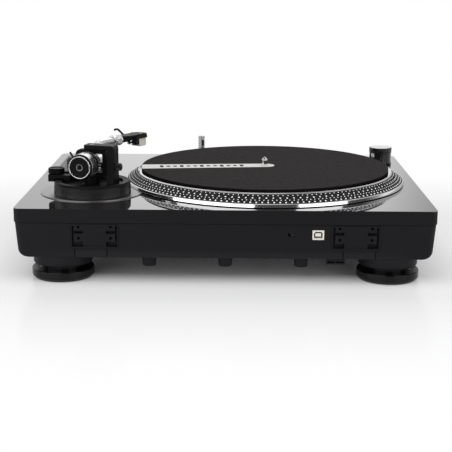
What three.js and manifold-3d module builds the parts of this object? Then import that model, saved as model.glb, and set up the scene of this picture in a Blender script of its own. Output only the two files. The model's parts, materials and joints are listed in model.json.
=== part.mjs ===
// Direct-drive record player with an S-shaped tonearm: plinth, platter, arm, controls and feet.
// Millimetres, +Z up, front towards -Y, origin on the floor under the middle of the plinth.
import * as THREE from 'three';
import { mergeVertices } from 'three/addons/utils/BufferGeometryUtils.js';
import Module from 'manifold-3d';

const wasm = await Module();
wasm.setup();

// ---- Driving dimensions -------------------------------------------------------------------

const FIT = 0.3;                        // running and assembly clearance between pieces

// Platter and the strip of plinth around it
const PLATTER_RADIUS = 166;
const PLATTER_LEFT_MARGIN = 13.4;
const PLATTER_FRONT_MARGIN = 11;
const PLATTER_REAR_MARGIN = 9;
const ARM_BAY_WIDTH = 104.6;            // plinth to the right of the platter
const PLATTER_RUNNING_GAP = 1.7;        // deck surface to the platter's lower rim
const PLATTER_RIM_HEIGHT = 3.5;
const PLATTER_HEIGHT = 12.1;            // lower rim to the face under the mat
const PLATTER_FACE_RADIUS = 150.5;
const PLATTER_WEB = 4.3;
const PLATTER_RIM_WALL = 7;
const RIM_ROUNDING = 0.4;
const HUB_RADIUS = 14;
const MAT_MARGIN = 2.8;
const MAT_THICKNESS = 3.1;
const SPINDLE_RADIUS = 3.6;
const SPINDLE_RISE = 10.4;              // above the mat
const SPINDLE_DEPTH = 28;               // below the deck surface

// Plinth shells
const FOOT_CLEARANCE = 29;              // floor to the casing's underside
const CASING_HEIGHT = 53;               // underside to the deck surface
const COVER_SKIRT = 15;
const COVER_THICKNESS = 4;
const COVER_WALL = 3.2;
const COVER_EDGE_BEVEL = 0.8;
const PLAN_CORNER_RADIUS = 6;
const CASING_WALL = 3;
const CASING_STEP = 0.8;                // casing set back from the cover
const CASING_DRAFT = 2.4;               // side walls lean in by this much at the bottom
const CASING_LOWER_RADIUS = 9;

// Feet
const FOOT_INSET_X = 47;
const FOOT_INSET_Y = 36;
const FOOT_RADIUS = 34.2;
const FOOT_PAD_HEIGHT = 11;
const FOOT_EDGE = 1.2;
const FOOT_NECK_RADIUS = 24;
const FOOT_NECK_HEIGHT = 11;
const FOOT_CUP_RADIUS = 32.2;
const FOOT_CUP_DEPTH = 13;
const FOOT_CUP_ROUNDING = 2.7;          // of the cup's lower edge
const FOOT_STUD_RADIUS = 5;
const FOOT_STUD_HEIGHT = 19;

// Rear wall fittings
const HINGE_SOCKET_WIDTH = 51;
const HINGE_SOCKET_HEIGHT = 25.8;
const HINGE_SOCKET_DEPTH = 8;
const HINGE_SOCKET_INSET = 86.2;        // plinth side to a socket's centre
const HINGE_SOCKET_DROP = 29.5;         // deck surface to socket centre
const SOCKET_CENTRE_WIDTH = 24.6;
const SOCKET_LIP = 1.3;
const SOCKET_SLOT = 2.3;
const SOCKET_CHANNEL_DEPTH = 5;
const SOCKET_BAR_HEIGHT = 3.2;
const SOCKET_BAR_Z = 4.4;               // middle of the upper bar above the socket's centre
const SOCKET_FOOT_HEIGHT = 5.5;
const SOCKET_SCREW_RADIUS = 1.5;
const SOCKET_RIM = 1.4;                 // channel end to the socket's edge
const GROOVE_SPAN = 34.4;               // between the two moulding grooves below a socket
const GROOVE_OUTSET = 4.2;              // the pair's middle, out from the socket's
const GROOVE_WIDTH = 1.2;
const GROOVE_DEPTH = 1.4;
const GROOVE_RISE = 6;
const JACK_DROP = 26.6;                 // deck surface to the middle of the data jack
const DATA_JACK_GAP = 8.1;              // left hinge socket to the data jack
const DATA_JACK_WIDTH = 12.6;
const DATA_JACK_HEIGHT = 10.6;
const DATA_JACK_DEPTH = 16;
const DATA_JACK_WALL = 1.4;
const SWITCH_SPACING = 28.7;            // data jack to the switch, middle to middle
const SWITCH_TRAVEL = 3;
const SWITCH_KNOB_WIDTH = 3;
const SWITCH_KNOB_HEIGHT = 2.8;
const SWITCH_DEPTH = 8;
const LEAD_HOOK_INSET = 21;             // in from the left hinge socket's middle
const LEAD_HOOK_WIDTH = 20.4;
const LEAD_HOOK_DROP = 5.6;
const LEAD_HOOK_LENGTH = 8;
const LEAD_HOOK_WALL = 1.5;
const UNDER_STUD_SPACING = 81.8;
const UNDER_STUD_RADIUS = 8;
const UNDER_STUD_DROP = 10.5;
const UNDER_STUD_INSET = 12;
const UNDER_STUD_BORE = 4;

// Connection bay in the underside
const BAY_X = -60;
const BAY_WIDTH = 84;
const BAY_LENGTH = 46;
const BAY_HEIGHT = 24;
const BAY_REAR_INSET = 26;
const INLET_WIDTH = 24;
const INLET_HEIGHT = 14;
const INLET_DEPTH = 14;
const INLET_LOBE = 4.4;                 // radius of each half of the figure-of-eight recess
const INLET_PIN_RADIUS = 1.1;
const INLET_FLANGE = 2;
const JACK_RADIUS = 4.2;
const JACK_SPACING = 14;
const JACK_LENGTH = 9;
const EARTH_POST_RADIUS = 1.8;
const JACK_PLATE_THICKNESS = 1.6;
const JACK_PLATE_MARGIN = 3;

// Motor and boards
const STATOR_RADIUS = 43;
const STATOR_FLANGE_RADIUS = 56;
const STATOR_FLANGE = 3;
const STATOR_HUB_GAP = 1;               // platter hub to the stator's bore
const ROTOR_GAP = 1;                    // stator drum to the magnet
const ROTOR_WALL = 8;
const BEARING_RADIUS = 9.5;
const BEARING_FLANGE_RADIUS = 22;
const BEARING_FLANGE = 3;
const HUB_DEPTH = 5.5;                  // platter hub below the web
const BOARD_THICKNESS = 1.6;
const BOARD_STANDOFF = 6;
const STANDOFF_RADIUS = 3;
const MAIN_BOARD = { x: 60, rearInset: 86, width: 130, depth: 90, margin: 6 };
const TRANSFORMER_SIZE = 46;
const TRANSFORMER_HEIGHT = 30;

// Controls on the deck
const TOWER_RADIUS = 14.5;
const TOWER_HEIGHT = 17;
const TOWER_PLATTER_GAP = 10;
const TOWER_BEARING = 216.4;            // direction from the spindle, degrees from +X
const POWER_KNOB_HEIGHT = 5;
const POWER_KNOB_BEVEL = 0.6;
const POWER_SHAFT_RADIUS = 3;
const POWER_SHAFT_DEPTH = 4;
const LENS_RADIUS = 3.4;
const LENS_DROP = 4.5;                  // tower top to the middle of the lens
const LIGHT_RADIUS = 4.5;
const LIGHT_RISE = 28.8;
const LIGHT_PLATTER_GAP = 3.2;
const LIGHT_BEARING = 297.4;
const LIGHT_SLEEVE_WALL = 1.6;
const LIGHT_SLEEVE_LENGTH = 10;         // below the cover
const LIGHT_SLEEVE_RIM = 1.2;           // above the deck
const LIGHT_BEVEL = 0.8;
const LIGHT_TAIL = 6;                   // stem below its sleeve
const BUTTON_RISE = 2.6;
const BUTTON_TRAVEL = 1.4;
const BUTTON_LIP = 1.6;
const BUTTON_FLANGE = 2;
const BUTTON_CORNER = 2;
const BUTTON_BEVEL = 0.5;
const START_BUTTON_SIZE = 34;
const START_BUTTON_INSET = 28;          // deck edge to button centre, both ways
const SPEED_BUTTON_LENGTH = 22;
const SPEED_BUTTON_WIDTH = 11;
const SPEED_BUTTON_SPACING = 26;
const PITCH_INSET = 29;                 // right edge of the deck to the fader's centre line
const PITCH_CENTRE_Y = -82;
const PITCH_TRAVEL = 45;                // each way from the middle
const PITCH_SLOT_WIDTH = 4;
const PITCH_PLATE_WIDTH = 34;
const PITCH_PLATE_MARGIN = 14;
const PITCH_PLATE_THICKNESS = 1.2;
const PITCH_KNOB_LENGTH = 15;
const PITCH_KNOB_WIDTH = 24;
const PITCH_KNOB_HEIGHT = 9;
const PITCH_KNOB_DISH = 5;
const PITCH_STEM = 8;
const FADER_HEIGHT = 9;
const FADER_WIDTH = 20;
const FADER_MARGIN = 8;
const FADER_WALL = 2;

// Tonearm geometry, seen from above
const PIVOT_BEARING = 25.9;             // direction of the arm pivot from the spindle
const PIVOT_PLATTER_GAP = 8.4;          // platter rim to the height ring
const STYLUS_OVERHANG = 12.3;
const REST_AZIMUTH = -103;              // direction of the tube's first leg on its rest
const REST_TILT = 1.1;                  // nose-down on its rest
const FIRST_LEG = 75;
const FIRST_LEG_ANGLE = 4.25;           // between first leg and the pivot-to-stylus line
const LAST_LEG = 97;
const OFFSET_ANGLE = 22.6;
const TUBE_BEND_RADIUS = 32;
const TUBE_RADIUS = 4.6;
const ARM_HEIGHT = 36;                  // deck surface to the arm's pivots

// Tonearm base
const ESCUTCHEON_RADIUS = 58;
const ESCUTCHEON_OFFSET_X = 2;
const ESCUTCHEON_OFFSET_Y = -13;
const ESCUTCHEON_THICKNESS = 0.8;
const HEIGHT_RING_RADIUS = 43;
const HEIGHT_RING_WALL = 8.8;
const HEIGHT_RING_TOP = 16;
const HEIGHT_RING_RIBS = 72;
const RIB_DEPTH = 0.8;
const RING_CHAMFER = 2.4;
const ARM_STEM_RADIUS = 14;
const ARM_STEM_DEPTH = 14;
const MOUNT_FLOOR = 12.5;
const SHELF_THICKNESS = 4.1;
const SHELF_WALL = 8;
const SHELF_RADIUS = 51.5;
const SHELF_START = -7;                 // sector of the shelf, degrees from +X
const SHELF_END = -96;
const SHELF_DROP = 3.8;
const SHELF_LIP = 30;                   // degrees of the shelf that reach down outside the ring
const PILLAR_RADIUS = 9;
const DIAL_RADIUS = 9.2;
const DIAL_HEIGHT = 6.1;
const DIAL_BEARING = -20.5;
const DIAL_SHAFT_RADIUS = 2.4;
const DIAL_RIM = 2;
const DIAL_DISH = 0.7;

// Yoke, gimbal and arm
const GIMBAL_HALF_WIDTH = 18;
const GIMBAL_HALF_HEIGHT = 15;
const GIMBAL_BAR = 4.5;
const GIMBAL_DEPTH = 8;
const GIMBAL_CORNER = 6;
const GIMBAL_PIN_RADIUS = 3.4;
const YOKE_GAP = 2.3;                   // gimbal side to the yoke's leg
const YOKE_LEG = 8.4;
const YOKE_BAR = 5;
const YOKE_DEPTH = 16;
const YOKE_OVERHANG = 6.5;
const YOKE_FLARE = 4;
const YOKE_CORNER = 4;
const TOP_SCREW_RADIUS = 3;
const LOCK_KNOB_RADIUS = 4.2;
const LOCK_KNOB_LENGTH = 7;
const LOCK_KNOB_HEIGHT = 33;
const HUB_SLEEVE_RADIUS = 7.6;
const HUB_FRONT = 8;
const HUB_REAR = 7;
const PIVOT_SCREW_RADIUS = 2;
const PIVOT_SCREW_HEAD = 1.1;
const STUB_RADIUS = 3.5;
const STUB_LENGTH = 33;
const SLEEVE_WALL = 2.4;
const WEIGHT_RADIUS = 14.2;
const WEIGHT_REAR_RADIUS = 13.5;
const WEIGHT_FRONT = 15.2;              // pivot to the front of the weight's dial
const WEIGHT_DIAL_WIDTH = 5.2;
const WEIGHT_LENGTH = 19.5;
const WEIGHT_REAR_LENGTH = 9.4;
const WEIGHT_BEVEL = 0.6;
const WEIGHT_SLIDE_FORWARD = 4;

// Headshell and cartridge, measured back from the stylus
const COLLAR_RADIUS = 7;
const COLLAR_LENGTH = 15;
const HEADSHELL_LENGTH = 46;            // collar to stylus
const HEADSHELL_NOSE = 5;
const HEADSHELL_WIDTH = 18;
const HEADSHELL_PLATE = 2.4;
const HEADSHELL_RISE = 2;
const HEADSHELL_SLOT = 2.6;
const HEADSHELL_TAPER = 12;
const SCREW_SLOT_LENGTH = 14;
const SCREW_SLOT_SETBACK = 9;
const CARTRIDGE_SCREW_SPACING = 12.7;
const CARTRIDGE_WIDTH = 16.4;
const CARTRIDGE_REAR = 19;
const CARTRIDGE_CAP = 3.2;
const CARTRIDGE_HEIGHT = 11;
const CARTRIDGE_PIN = 5;
const CARTRIDGE_PIN_RADIUS = 0.6;
const STYLUS_WIDTH = 13;
const STYLUS_LENGTH = 16;
const STYLUS_DROP = 12.9;               // arm axis to the stylus tip
const STYLUS_TIP = 0.8;
const STYLUS_GROOVE = 2.5;
const FINGER_REACH = 17;
const FINGER_RISE = 8;
const FINGER_THICKNESS = 1.6;
const FINGER_WIDTH = 3.2;
const FINGER_SETBACK = 22;
const FINGER_EDGE = 0.5;

// Arm rest and cueing lift
const REST_RADIUS = 50;                 // pivot to the arm rest, along the tube
const REST_WIDTH = 6;
const REST_CHEEK = 2.2;
const CLIP_THICKNESS = 1.6;
const CLIP_REACH = 13;
const CLIP_HOOK = 3;
const CLIP_PIN = 0.9;
const CLIP_EAR = 0.8;
const CLIP_OPEN_ANGLE = 60;
const CUE_BAR_RADIUS = 29.5;            // pivot to the lifting bar
const CUE_BAR_WIDTH = 3;
const CUE_BAR_SWEEP = 46;               // degrees that the curved bar follows the swinging arm
const CUE_TRAVEL = 3;
const CUE_POST_RADIUS = 2.4;
const CUE_POST_SIDE = 27;
const CUE_BLOCK = 14;
const CUE_LEVER_RADIUS = 1.2;
const CUE_LEVER_TOP = 43;
const CUE_LEVER_TILT = 31;              // degrees back from upright
const CUE_HUB_RADIUS = 4;
const CUE_HUB_WIDTH = 5;
const CUE_PIN_RADIUS = 1.2;
const CUE_PIN_DEPTH = 3;

// Facets round a full circle
const SIDES = 40;
const FINE_SIDES = 72;
const SMALL_SIDES = 16;
const HIDDEN_SIDES = 24;
const FOOT_SIDES = 28;
const TOWER_SIDES = 24;

// ---- Derived layout -----------------------------------------------------------------------

const PLINTH_WIDTH = PLATTER_LEFT_MARGIN + 2 * PLATTER_RADIUS + ARM_BAY_WIDTH;
const PLINTH_DEPTH = PLATTER_FRONT_MARGIN + 2 * PLATTER_RADIUS + PLATTER_REAR_MARGIN;
const DECK = FOOT_CLEARANCE + CASING_HEIGHT;
const REAR = PLINTH_DEPTH / 2;
const CASING_TOP = DECK - COVER_SKIRT - FIT;
const FLOOR = FOOT_CLEARANCE + CASING_WALL;
const CASING_REAR = REAR - CASING_STEP;
const PLATTER_X = -PLINTH_WIDTH / 2 + PLATTER_LEFT_MARGIN + PLATTER_RADIUS;
const PLATTER_Y = -PLINTH_DEPTH / 2 + PLATTER_FRONT_MARGIN + PLATTER_RADIUS;
const PIVOT_DISTANCE = PLATTER_RADIUS + PIVOT_PLATTER_GAP + HEIGHT_RING_RADIUS;
const EFFECTIVE_LENGTH = PIVOT_DISTANCE + STYLUS_OVERHANG;
const PLATTER_TOP = PLATTER_RUNNING_GAP + PLATTER_HEIGHT;
const MAT_TOP = PLATTER_TOP + FIT + MAT_THICKNESS;
const RING_BOTTOM = FIT + ESCUTCHEON_THICKNESS + FIT;
const RING_BORE = HEIGHT_RING_RADIUS - HEIGHT_RING_WALL;
const SHELF_BOTTOM = HEIGHT_RING_TOP + FIT;
const SHELF_TOP = SHELF_BOTTOM + SHELF_THICKNESS;

const degrees = THREE.MathUtils.degToRad;
const polar = (radius, bearing) =>
  [radius * Math.cos(degrees(bearing)), radius * Math.sin(degrees(bearing))];

// ---- Materials ----------------------------------------------------------------------------

const finish = (color, roughness, metalness) =>
  new THREE.MeshStandardMaterial({ color, roughness, metalness });
const GLOSS_BLACK = finish(0x0a0a0c, 0.08, 0.1);
const SATIN_BLACK = finish(0x202024, 0.55, 0);
const BLACK_METAL = finish(0x141416, 0.35, 0.4);
const CHROME = finish(0xe8e8ea, 0.1, 1);
const SILVER = finish(0xc4c6c8, 0.3, 1);
const FELT = finish(0x37322f, 0.95, 0);
const RUBBER = finish(0x18181a, 0.7, 0);
const BOARD_GREEN = finish(0x1c5a34, 0.6, 0);
const COPPER = finish(0xb06a3a, 0.4, 1);
const STEEL = finish(0x8c8f94, 0.4, 1);
const IVORY = finish(0xe9e2dd, 0.45, 0);
const CLEAR = finish(0xcfd6dc, 0.1, 0);

// ---- Solid tools --------------------------------------------------------------------------

// A geometry as position and index arrays with shared corners, no collapsed faces, facing out.
function closedMesh(geometry) {
  const bare = geometry.clone();
  bare.deleteAttribute('normal');
  bare.deleteAttribute('uv');
  const merged = mergeVertices(bare, 1e-4);
  const points = merged.attributes.position.array;
  const faces = [];
  let volume = 0;
  for (let i = 0; i < merged.index.count; i += 3) {
    const face = [0, 1, 2].map((k) => merged.index.array[i + k]);
    if (new Set(face).size < 3) continue;
    faces.push(face);
    const [a, b, c] = face.map((k) => new THREE.Vector3().fromArray(points, 3 * k));
    volume += a.dot(b.cross(c));
  }
  if (volume < 0) faces.forEach((face) => face.reverse());
  return { points, triangles: faces.flat() };
}

function solid(geometry) {
  const { points, triangles } = closedMesh(geometry);
  return new wasm.Manifold(new wasm.Mesh({
    numProp: 3,
    vertProperties: Float32Array.from(points),
    triVerts: Uint32Array.from(triangles),
  }));
}

function geometryOf(body) {
  const mesh = body.getMesh();
  const geometry = new THREE.BufferGeometry();
  geometry.setAttribute('position', new THREE.BufferAttribute(Float32Array.from(mesh.vertProperties), 3));
  geometry.setIndex(Array.from(mesh.triVerts));
  return geometry;
}

const join = (first, ...others) =>
  geometryOf(others.reduce((body, next) => body.add(solid(next)), solid(first)));
const cut = (first, ...others) =>
  geometryOf(others.reduce((body, next) => body.subtract(solid(next)), solid(first)));
const common = (first, second) => geometryOf(solid(first).intersect(solid(second)));

// ---- Shapes -------------------------------------------------------------------------------

function block(x0, x1, y0, y1, z0, z1) {
  const box = new THREE.BoxGeometry(x1 - x0, y1 - y0, z1 - z0);
  return box.translate((x0 + x1) / 2, (y0 + y1) / 2, (z0 + z1) / 2);
}

// Upright round bar or cone between two heights.
function disc(radius, z0, z1, sides = SIDES, topRadius = radius) {
  const bar = new THREE.CylinderGeometry(topRadius, radius, z1 - z0, sides);
  return bar.rotateX(Math.PI / 2).translate(0, 0, (z0 + z1) / 2);
}

const ringBar = (outer, inner, z0, z1, sides = SIDES) =>
  cut(disc(outer, z0, z1, sides), disc(inner, z0 - 1, z1 + 1, sides));

// Profile of [radius, height] pairs turned about the vertical.
function turned(profile, sides = SIDES) {
  const points = profile.map((pair) => new THREE.Vector2(...pair));
  return new THREE.LatheGeometry(points, sides).rotateX(Math.PI / 2);
}

const alongX = (geometry) => geometry.rotateY(Math.PI / 2);
const alongY = (geometry) => geometry.rotateX(-Math.PI / 2);

function roundedOutline(x0, x1, y0, y1, radius) {
  const outline = new THREE.Shape();
  outline.moveTo(x0 + radius, y0);
  outline.absarc(x1 - radius, y0 + radius, radius, -Math.PI / 2, 0);
  outline.absarc(x1 - radius, y1 - radius, radius, 0, Math.PI / 2);
  outline.absarc(x0 + radius, y1 - radius, radius, Math.PI / 2, Math.PI);
  outline.absarc(x0 + radius, y0 + radius, radius, Math.PI, 1.5 * Math.PI);
  return outline;
}

// Outline raised between two heights, with both rims bevelled when bevel is given.
function prism(outline, z0, z1, bevel = 0, curveSegments = 2) {
  const options = { depth: z1 - z0 - 2 * bevel, curveSegments, bevelEnabled: bevel > 0, bevelSegments: 1 };
  Object.assign(options, { bevelSize: bevel, bevelThickness: bevel, bevelOffset: -bevel });
  return new THREE.ExtrudeGeometry(outline, options).translate(0, 0, z0 + bevel);
}

const roundedBlock = (width, depth, radius, z0, z1, bevel = 0) =>
  prism(roundedOutline(-width / 2, width / 2, -depth / 2, depth / 2, radius), z0, z1, bevel);

// Outline in the X-Z plane given thickness along Y, centred on Y = 0.
const sidePrism = (outline, thickness, bevel = 0) =>
  prism(outline, -thickness / 2, thickness / 2, bevel).rotateX(Math.PI / 2);

function sector(inner, outer, start, end, z0, z1) {
  const outline = new THREE.Shape();
  outline.absarc(0, 0, outer, degrees(start), degrees(end), start > end);
  outline.absarc(0, 0, inner, degrees(end), degrees(start), start < end);
  return prism(outline, z0, z1, 0, SIDES / 8);
}

function sweep(curve, outline, steps) {
  const options = { extrudePath: curve, steps, bevelEnabled: false, curveSegments: 7 };
  return new THREE.ExtrudeGeometry(outline, options);
}

const outlineOf = (pairs) => new THREE.Shape(pairs.map((pair) => new THREE.Vector2(...pair)));

function circleOutline(radius) {
  return new THREE.Shape().absarc(0, 0, radius, 0, 2 * Math.PI);
}

function add(group, name, geometry, material) {
  const mesh = new THREE.Mesh(geometry, material);
  mesh.name = name;
  group.add(mesh);
}

function groupAt(parent, name, x, y, z) {
  const group = new THREE.Group();
  group.name = name;
  group.position.set(x, y, z);
  parent.add(group);
  return group;
}

const player = new THREE.Group();

// ---- Plinth -------------------------------------------------------------------------------

// Casing cross-section: leaning sides and a rounded lower edge, inset all round for the inside.
function casingOutline(inset, bottom, top) {
  const upper = PLINTH_WIDTH / 2 - CASING_STEP - inset;
  const lower = upper - CASING_DRAFT;
  const radius = CASING_LOWER_RADIUS - inset;
  const outline = new THREE.Shape();
  outline.moveTo(-upper, top);
  outline.lineTo(-lower, bottom + radius);
  outline.absarc(-lower + radius, bottom + radius, radius, Math.PI, 1.5 * Math.PI);
  outline.absarc(lower - radius, bottom + radius, radius, 1.5 * Math.PI, 2 * Math.PI);
  outline.lineTo(upper, top);
  return outline;
}

function casingShell() {
  const depth = PLINTH_DEPTH - 2 * CASING_STEP;
  const plan = roundedBlock(PLINTH_WIDTH, depth, PLAN_CORNER_RADIUS, 0, DECK);
  const outside = common(sidePrism(casingOutline(0, FOOT_CLEARANCE, CASING_TOP), depth + 1), plan);
  return cut(outside, sidePrism(casingOutline(CASING_WALL, FLOOR, DECK), depth - 2 * CASING_WALL));
}

const FOOT_PLACES = {
  front_left: [-1, -1],
  front_right: [1, -1],
  rear_left: [-1, 1],
  rear_right: [1, 1],
};
const footPlace = ([sideX, sideY]) =>
  [sideX * (PLINTH_WIDTH / 2 - FOOT_INSET_X), sideY * (PLINTH_DEPTH / 2 - FOOT_INSET_Y)];

// Cup with a rounded lower edge that hides the foot's neck, and a boss for its stud.
function footCup(x, y) {
  const bottom = FOOT_CLEARANCE - FOOT_CUP_DEPTH;
  const halfway = FOOT_CUP_ROUNDING * (1 - Math.SQRT1_2);
  const cup = turned([
    [0, bottom], [FOOT_CUP_RADIUS - FOOT_CUP_ROUNDING, bottom],
    [FOOT_CUP_RADIUS - halfway, bottom + halfway],
    [FOOT_CUP_RADIUS, bottom + FOOT_CUP_ROUNDING], [FOOT_CUP_RADIUS, FLOOR - 1], [0, FLOOR - 1],
  ], FOOT_SIDES);
  const boss = disc(FOOT_STUD_RADIUS + FIT + CASING_WALL, FLOOR - 1, FLOOR + FOOT_STUD_HEIGHT - 4, 12);
  return join(cup, boss).translate(x, y, 0);
}

function footBore(x, y) {
  const neck = disc(FOOT_NECK_RADIUS + FIT, 0, FOOT_CLEARANCE, FOOT_SIDES);
  const stud = disc(FOOT_STUD_RADIUS + FIT, 0, DECK - COVER_SKIRT, FOOT_SIDES / 2);
  return join(neck, stud).translate(x, y, 0);
}

const SOCKET_OFFSET = PLINTH_WIDTH / 2 - HINGE_SOCKET_INSET;
const SOCKET_CENTRES = { left: -SOCKET_OFFSET, right: SOCKET_OFFSET };
const DATA_JACK_X = HINGE_SOCKET_WIDTH / 2 + DATA_JACK_GAP + DATA_JACK_WIDTH / 2 - SOCKET_OFFSET;
const SWITCH_X = DATA_JACK_X + SWITCH_SPACING;
const LEAD_HOOK_X = LEAD_HOOK_INSET - SOCKET_OFFSET;
const SOCKET_Z = DECK - HINGE_SOCKET_DROP;
const SOCKET_BACK = REAR - FIT - HINGE_SOCKET_DEPTH;

function socketBlock(x, margin) {
  const half = HINGE_SOCKET_WIDTH / 2 + margin;
  const tall = HINGE_SOCKET_HEIGHT / 2 + margin;
  return block(x - half, x + half, SOCKET_BACK - margin, REAR, SOCKET_Z - tall, SOCKET_Z + tall);
}

const JACK_Z = DECK - JACK_DROP;

function rearPocket(x, width, height, clearance) {
  const [half, tall] = [width / 2 + clearance, height / 2 + clearance];
  return block(x - half, x + half, CASING_REAR - CASING_WALL - 1, REAR, JACK_Z - tall, JACK_Z + tall);
}

// Short moulding grooves below each hinge socket.
function socketGrooves(x) {
  return [-1, 1].map((side) => {
    const middle = x + Math.sign(x) * GROOVE_OUTSET + side * GROOVE_SPAN / 2;
    return block(middle - GROOVE_WIDTH / 2, middle + GROOVE_WIDTH / 2, CASING_REAR - GROOVE_DEPTH, REAR,
      FOOT_CLEARANCE - 1, FLOOR + GROOVE_RISE);
  });
}

const BAY = {
  x0: BAY_X - BAY_WIDTH / 2,
  x1: BAY_X + BAY_WIDTH / 2,
  y0: REAR - BAY_REAR_INSET - BAY_LENGTH,
  y1: REAR - BAY_REAR_INSET,
  z1: FOOT_CLEARANCE + BAY_HEIGHT,
};
const INLET_X = BAY.x1 - BAY_WIDTH / 4;
const SIGNAL_X = BAY.x0 + BAY_WIDTH / 4;
const BAY_MIDDLE_Z = FOOT_CLEARANCE + BAY_HEIGHT / 2;

// Opening through the bay's inner wall, centred on the bay's height.
function bayWindow(x, width, height) {
  return block(x - width / 2, x + width / 2, BAY.y0 - CASING_WALL - 1, BAY.y0 + 1, -height / 2, height / 2)
    .translate(0, 0, BAY_MIDDLE_Z);
}

function leadHook() {
  const half = LEAD_HOOK_WIDTH / 2;
  const bottom = FOOT_CLEARANCE - LEAD_HOOK_DROP;
  const back = CASING_REAR - LEAD_HOOK_LENGTH;
  const slotHalf = (half - LEAD_HOOK_WALL - LEAD_HOOK_WALL / 2) / 2;
  const bar = block(-half, half, back, CASING_REAR, bottom, FLOOR - 1);
  const slots = [-1, 1].map((side) =>
    block(-slotHalf, slotHalf, back - 1, REAR, bottom + LEAD_HOOK_WALL, FOOT_CLEARANCE - LEAD_HOOK_WALL)
      .translate(side * (slotHalf + LEAD_HOOK_WALL / 2), 0, 0));
  return cut(bar, ...slots).translate(LEAD_HOOK_X, 0, 0);
}

// Three hollow studs in a row under the rear edge.
function underStuds() {
  const y = CASING_REAR - UNDER_STUD_INSET;
  return [-1, 0, 1].map((step) => {
    const bottom = FOOT_CLEARANCE - UNDER_STUD_DROP;
    const stud = disc(UNDER_STUD_RADIUS - 1, bottom, FLOOR - 1, SMALL_SIDES, UNDER_STUD_RADIUS);
    const recess = disc(UNDER_STUD_BORE, 0, FOOT_CLEARANCE - 2, SMALL_SIDES);
    return cut(stud, recess).translate(step * UNDER_STUD_SPACING, y, 0);
  });
}

const MAIN_BOARD_Y = REAR - MAIN_BOARD.rearInset;

function boardStandoffs() {
  const [dx, dy] = [MAIN_BOARD.width, MAIN_BOARD.depth].map((size) => size / 2 - MAIN_BOARD.margin);
  return [[-dx, -dy], [dx, -dy], [-dx, dy], [dx, dy]].map(([x, y]) =>
    disc(STANDOFF_RADIUS, FLOOR - 1, FLOOR + BOARD_STANDOFF, SMALL_SIDES)
      .translate(MAIN_BOARD.x + x, MAIN_BOARD_Y + y, 0));
}

function baseTub() {
  const places = Object.values(FOOT_PLACES).map(footPlace);
  const bayBox = block(BAY.x0 - CASING_WALL, BAY.x1 + CASING_WALL, BAY.y0 - CASING_WALL,
    BAY.y1 + CASING_WALL, FLOOR - 1, BAY.z1 + CASING_WALL);
  const raised = join(casingShell(), bayBox, leadHook(), ...underStuds(), ...boardStandoffs(),
    ...places.map(([x, y]) => footCup(x, y)),
    ...Object.values(SOCKET_CENTRES).map((x) => common(socketBlock(x, CASING_WALL),
      block(x - PLINTH_WIDTH, x + PLINTH_WIDTH, 0, CASING_REAR, 0, CASING_TOP))));
  return cut(raised,
    block(BAY.x0, BAY.x1, BAY.y0, BAY.y1, FOOT_CLEARANCE - 1, BAY.z1),
    bayWindow(INLET_X, INLET_WIDTH + 2 * FIT, INLET_HEIGHT + 2 * FIT),
    bayWindow(SIGNAL_X, JACK_SPACING + 4 * JACK_RADIUS, 2 * JACK_RADIUS + 2 * FIT),
    rearPocket(DATA_JACK_X, DATA_JACK_WIDTH, DATA_JACK_HEIGHT, FIT),
    rearPocket(SWITCH_X, SWITCH_KNOB_WIDTH + SWITCH_TRAVEL, SWITCH_KNOB_HEIGHT, FIT),
    ...places.map(([x, y]) => footBore(x, y)),
    ...Object.values(SOCKET_CENTRES).flatMap((x) => [socketBlock(x, FIT), ...socketGrooves(x)]));
}

// Moulded hinge receiver: flush middle, a deep channel down each side and two bars across it.
function hingeSocket(x) {
  const [half, tall] = [HINGE_SOCKET_WIDTH / 2, HINGE_SOCKET_HEIGHT / 2];
  const floor = REAR - SOCKET_CHANNEL_DEPTH;
  const outer = half - SOCKET_LIP;
  const cuts = [-1, 1].flatMap((side) => {
    const span = (a, b) => [side * a, side * b].sort((p, q) => p - q);
    const [s0, s1] = span(outer - SOCKET_SLOT, outer);
    const [b0, b1] = span(SOCKET_CENTRE_WIDTH / 2, outer);
    const screwX = side * (SOCKET_CENTRE_WIDTH / 2 + outer - SOCKET_SLOT) / 2;
    const screws = [tall - 2 * SOCKET_RIM, -tall / 6].map((z) =>
      alongY(disc(SOCKET_SCREW_RADIUS, floor, REAR + 1, 12)).translate(screwX, 0, z));
    const foot = SOCKET_RIM - tall;
    const barBottom = SOCKET_BAR_Z - SOCKET_BAR_HEIGHT / 2;
    return [
      block(s0, s1, floor, REAR + 1, foot, -foot),
      block(b0, b1, floor, REAR + 1, barBottom, barBottom + SOCKET_BAR_HEIGHT),
      block(b0, b1, floor, REAR + 1, foot, foot + SOCKET_FOOT_HEIGHT),
      ...screws,
    ];
  });
  const body = block(-half, half, SOCKET_BACK, REAR - FIT / 2, -tall, tall);
  return cut(body, ...cuts).translate(x, 0, SOCKET_Z);
}

function dataJack() {
  const [half, tall] = [DATA_JACK_WIDTH / 2, DATA_JACK_HEIGHT / 2];
  const shell = block(-half, half, CASING_REAR - DATA_JACK_DEPTH, CASING_REAR - FIT, -tall, tall);
  const [wide, high] = [half - DATA_JACK_WALL, tall - DATA_JACK_WALL];
  const back = CASING_REAR - DATA_JACK_DEPTH + 2 * DATA_JACK_WALL;
  const mouth = block(-wide, wide, back, REAR, -high, high);
  const tongue = block(-half / 2, half / 2, back - 1, CASING_REAR - DATA_JACK_WALL, -tall / 3, tall / 3);
  return join(cut(shell, mouth), tongue).translate(DATA_JACK_X, 0, JACK_Z);
}

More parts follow.
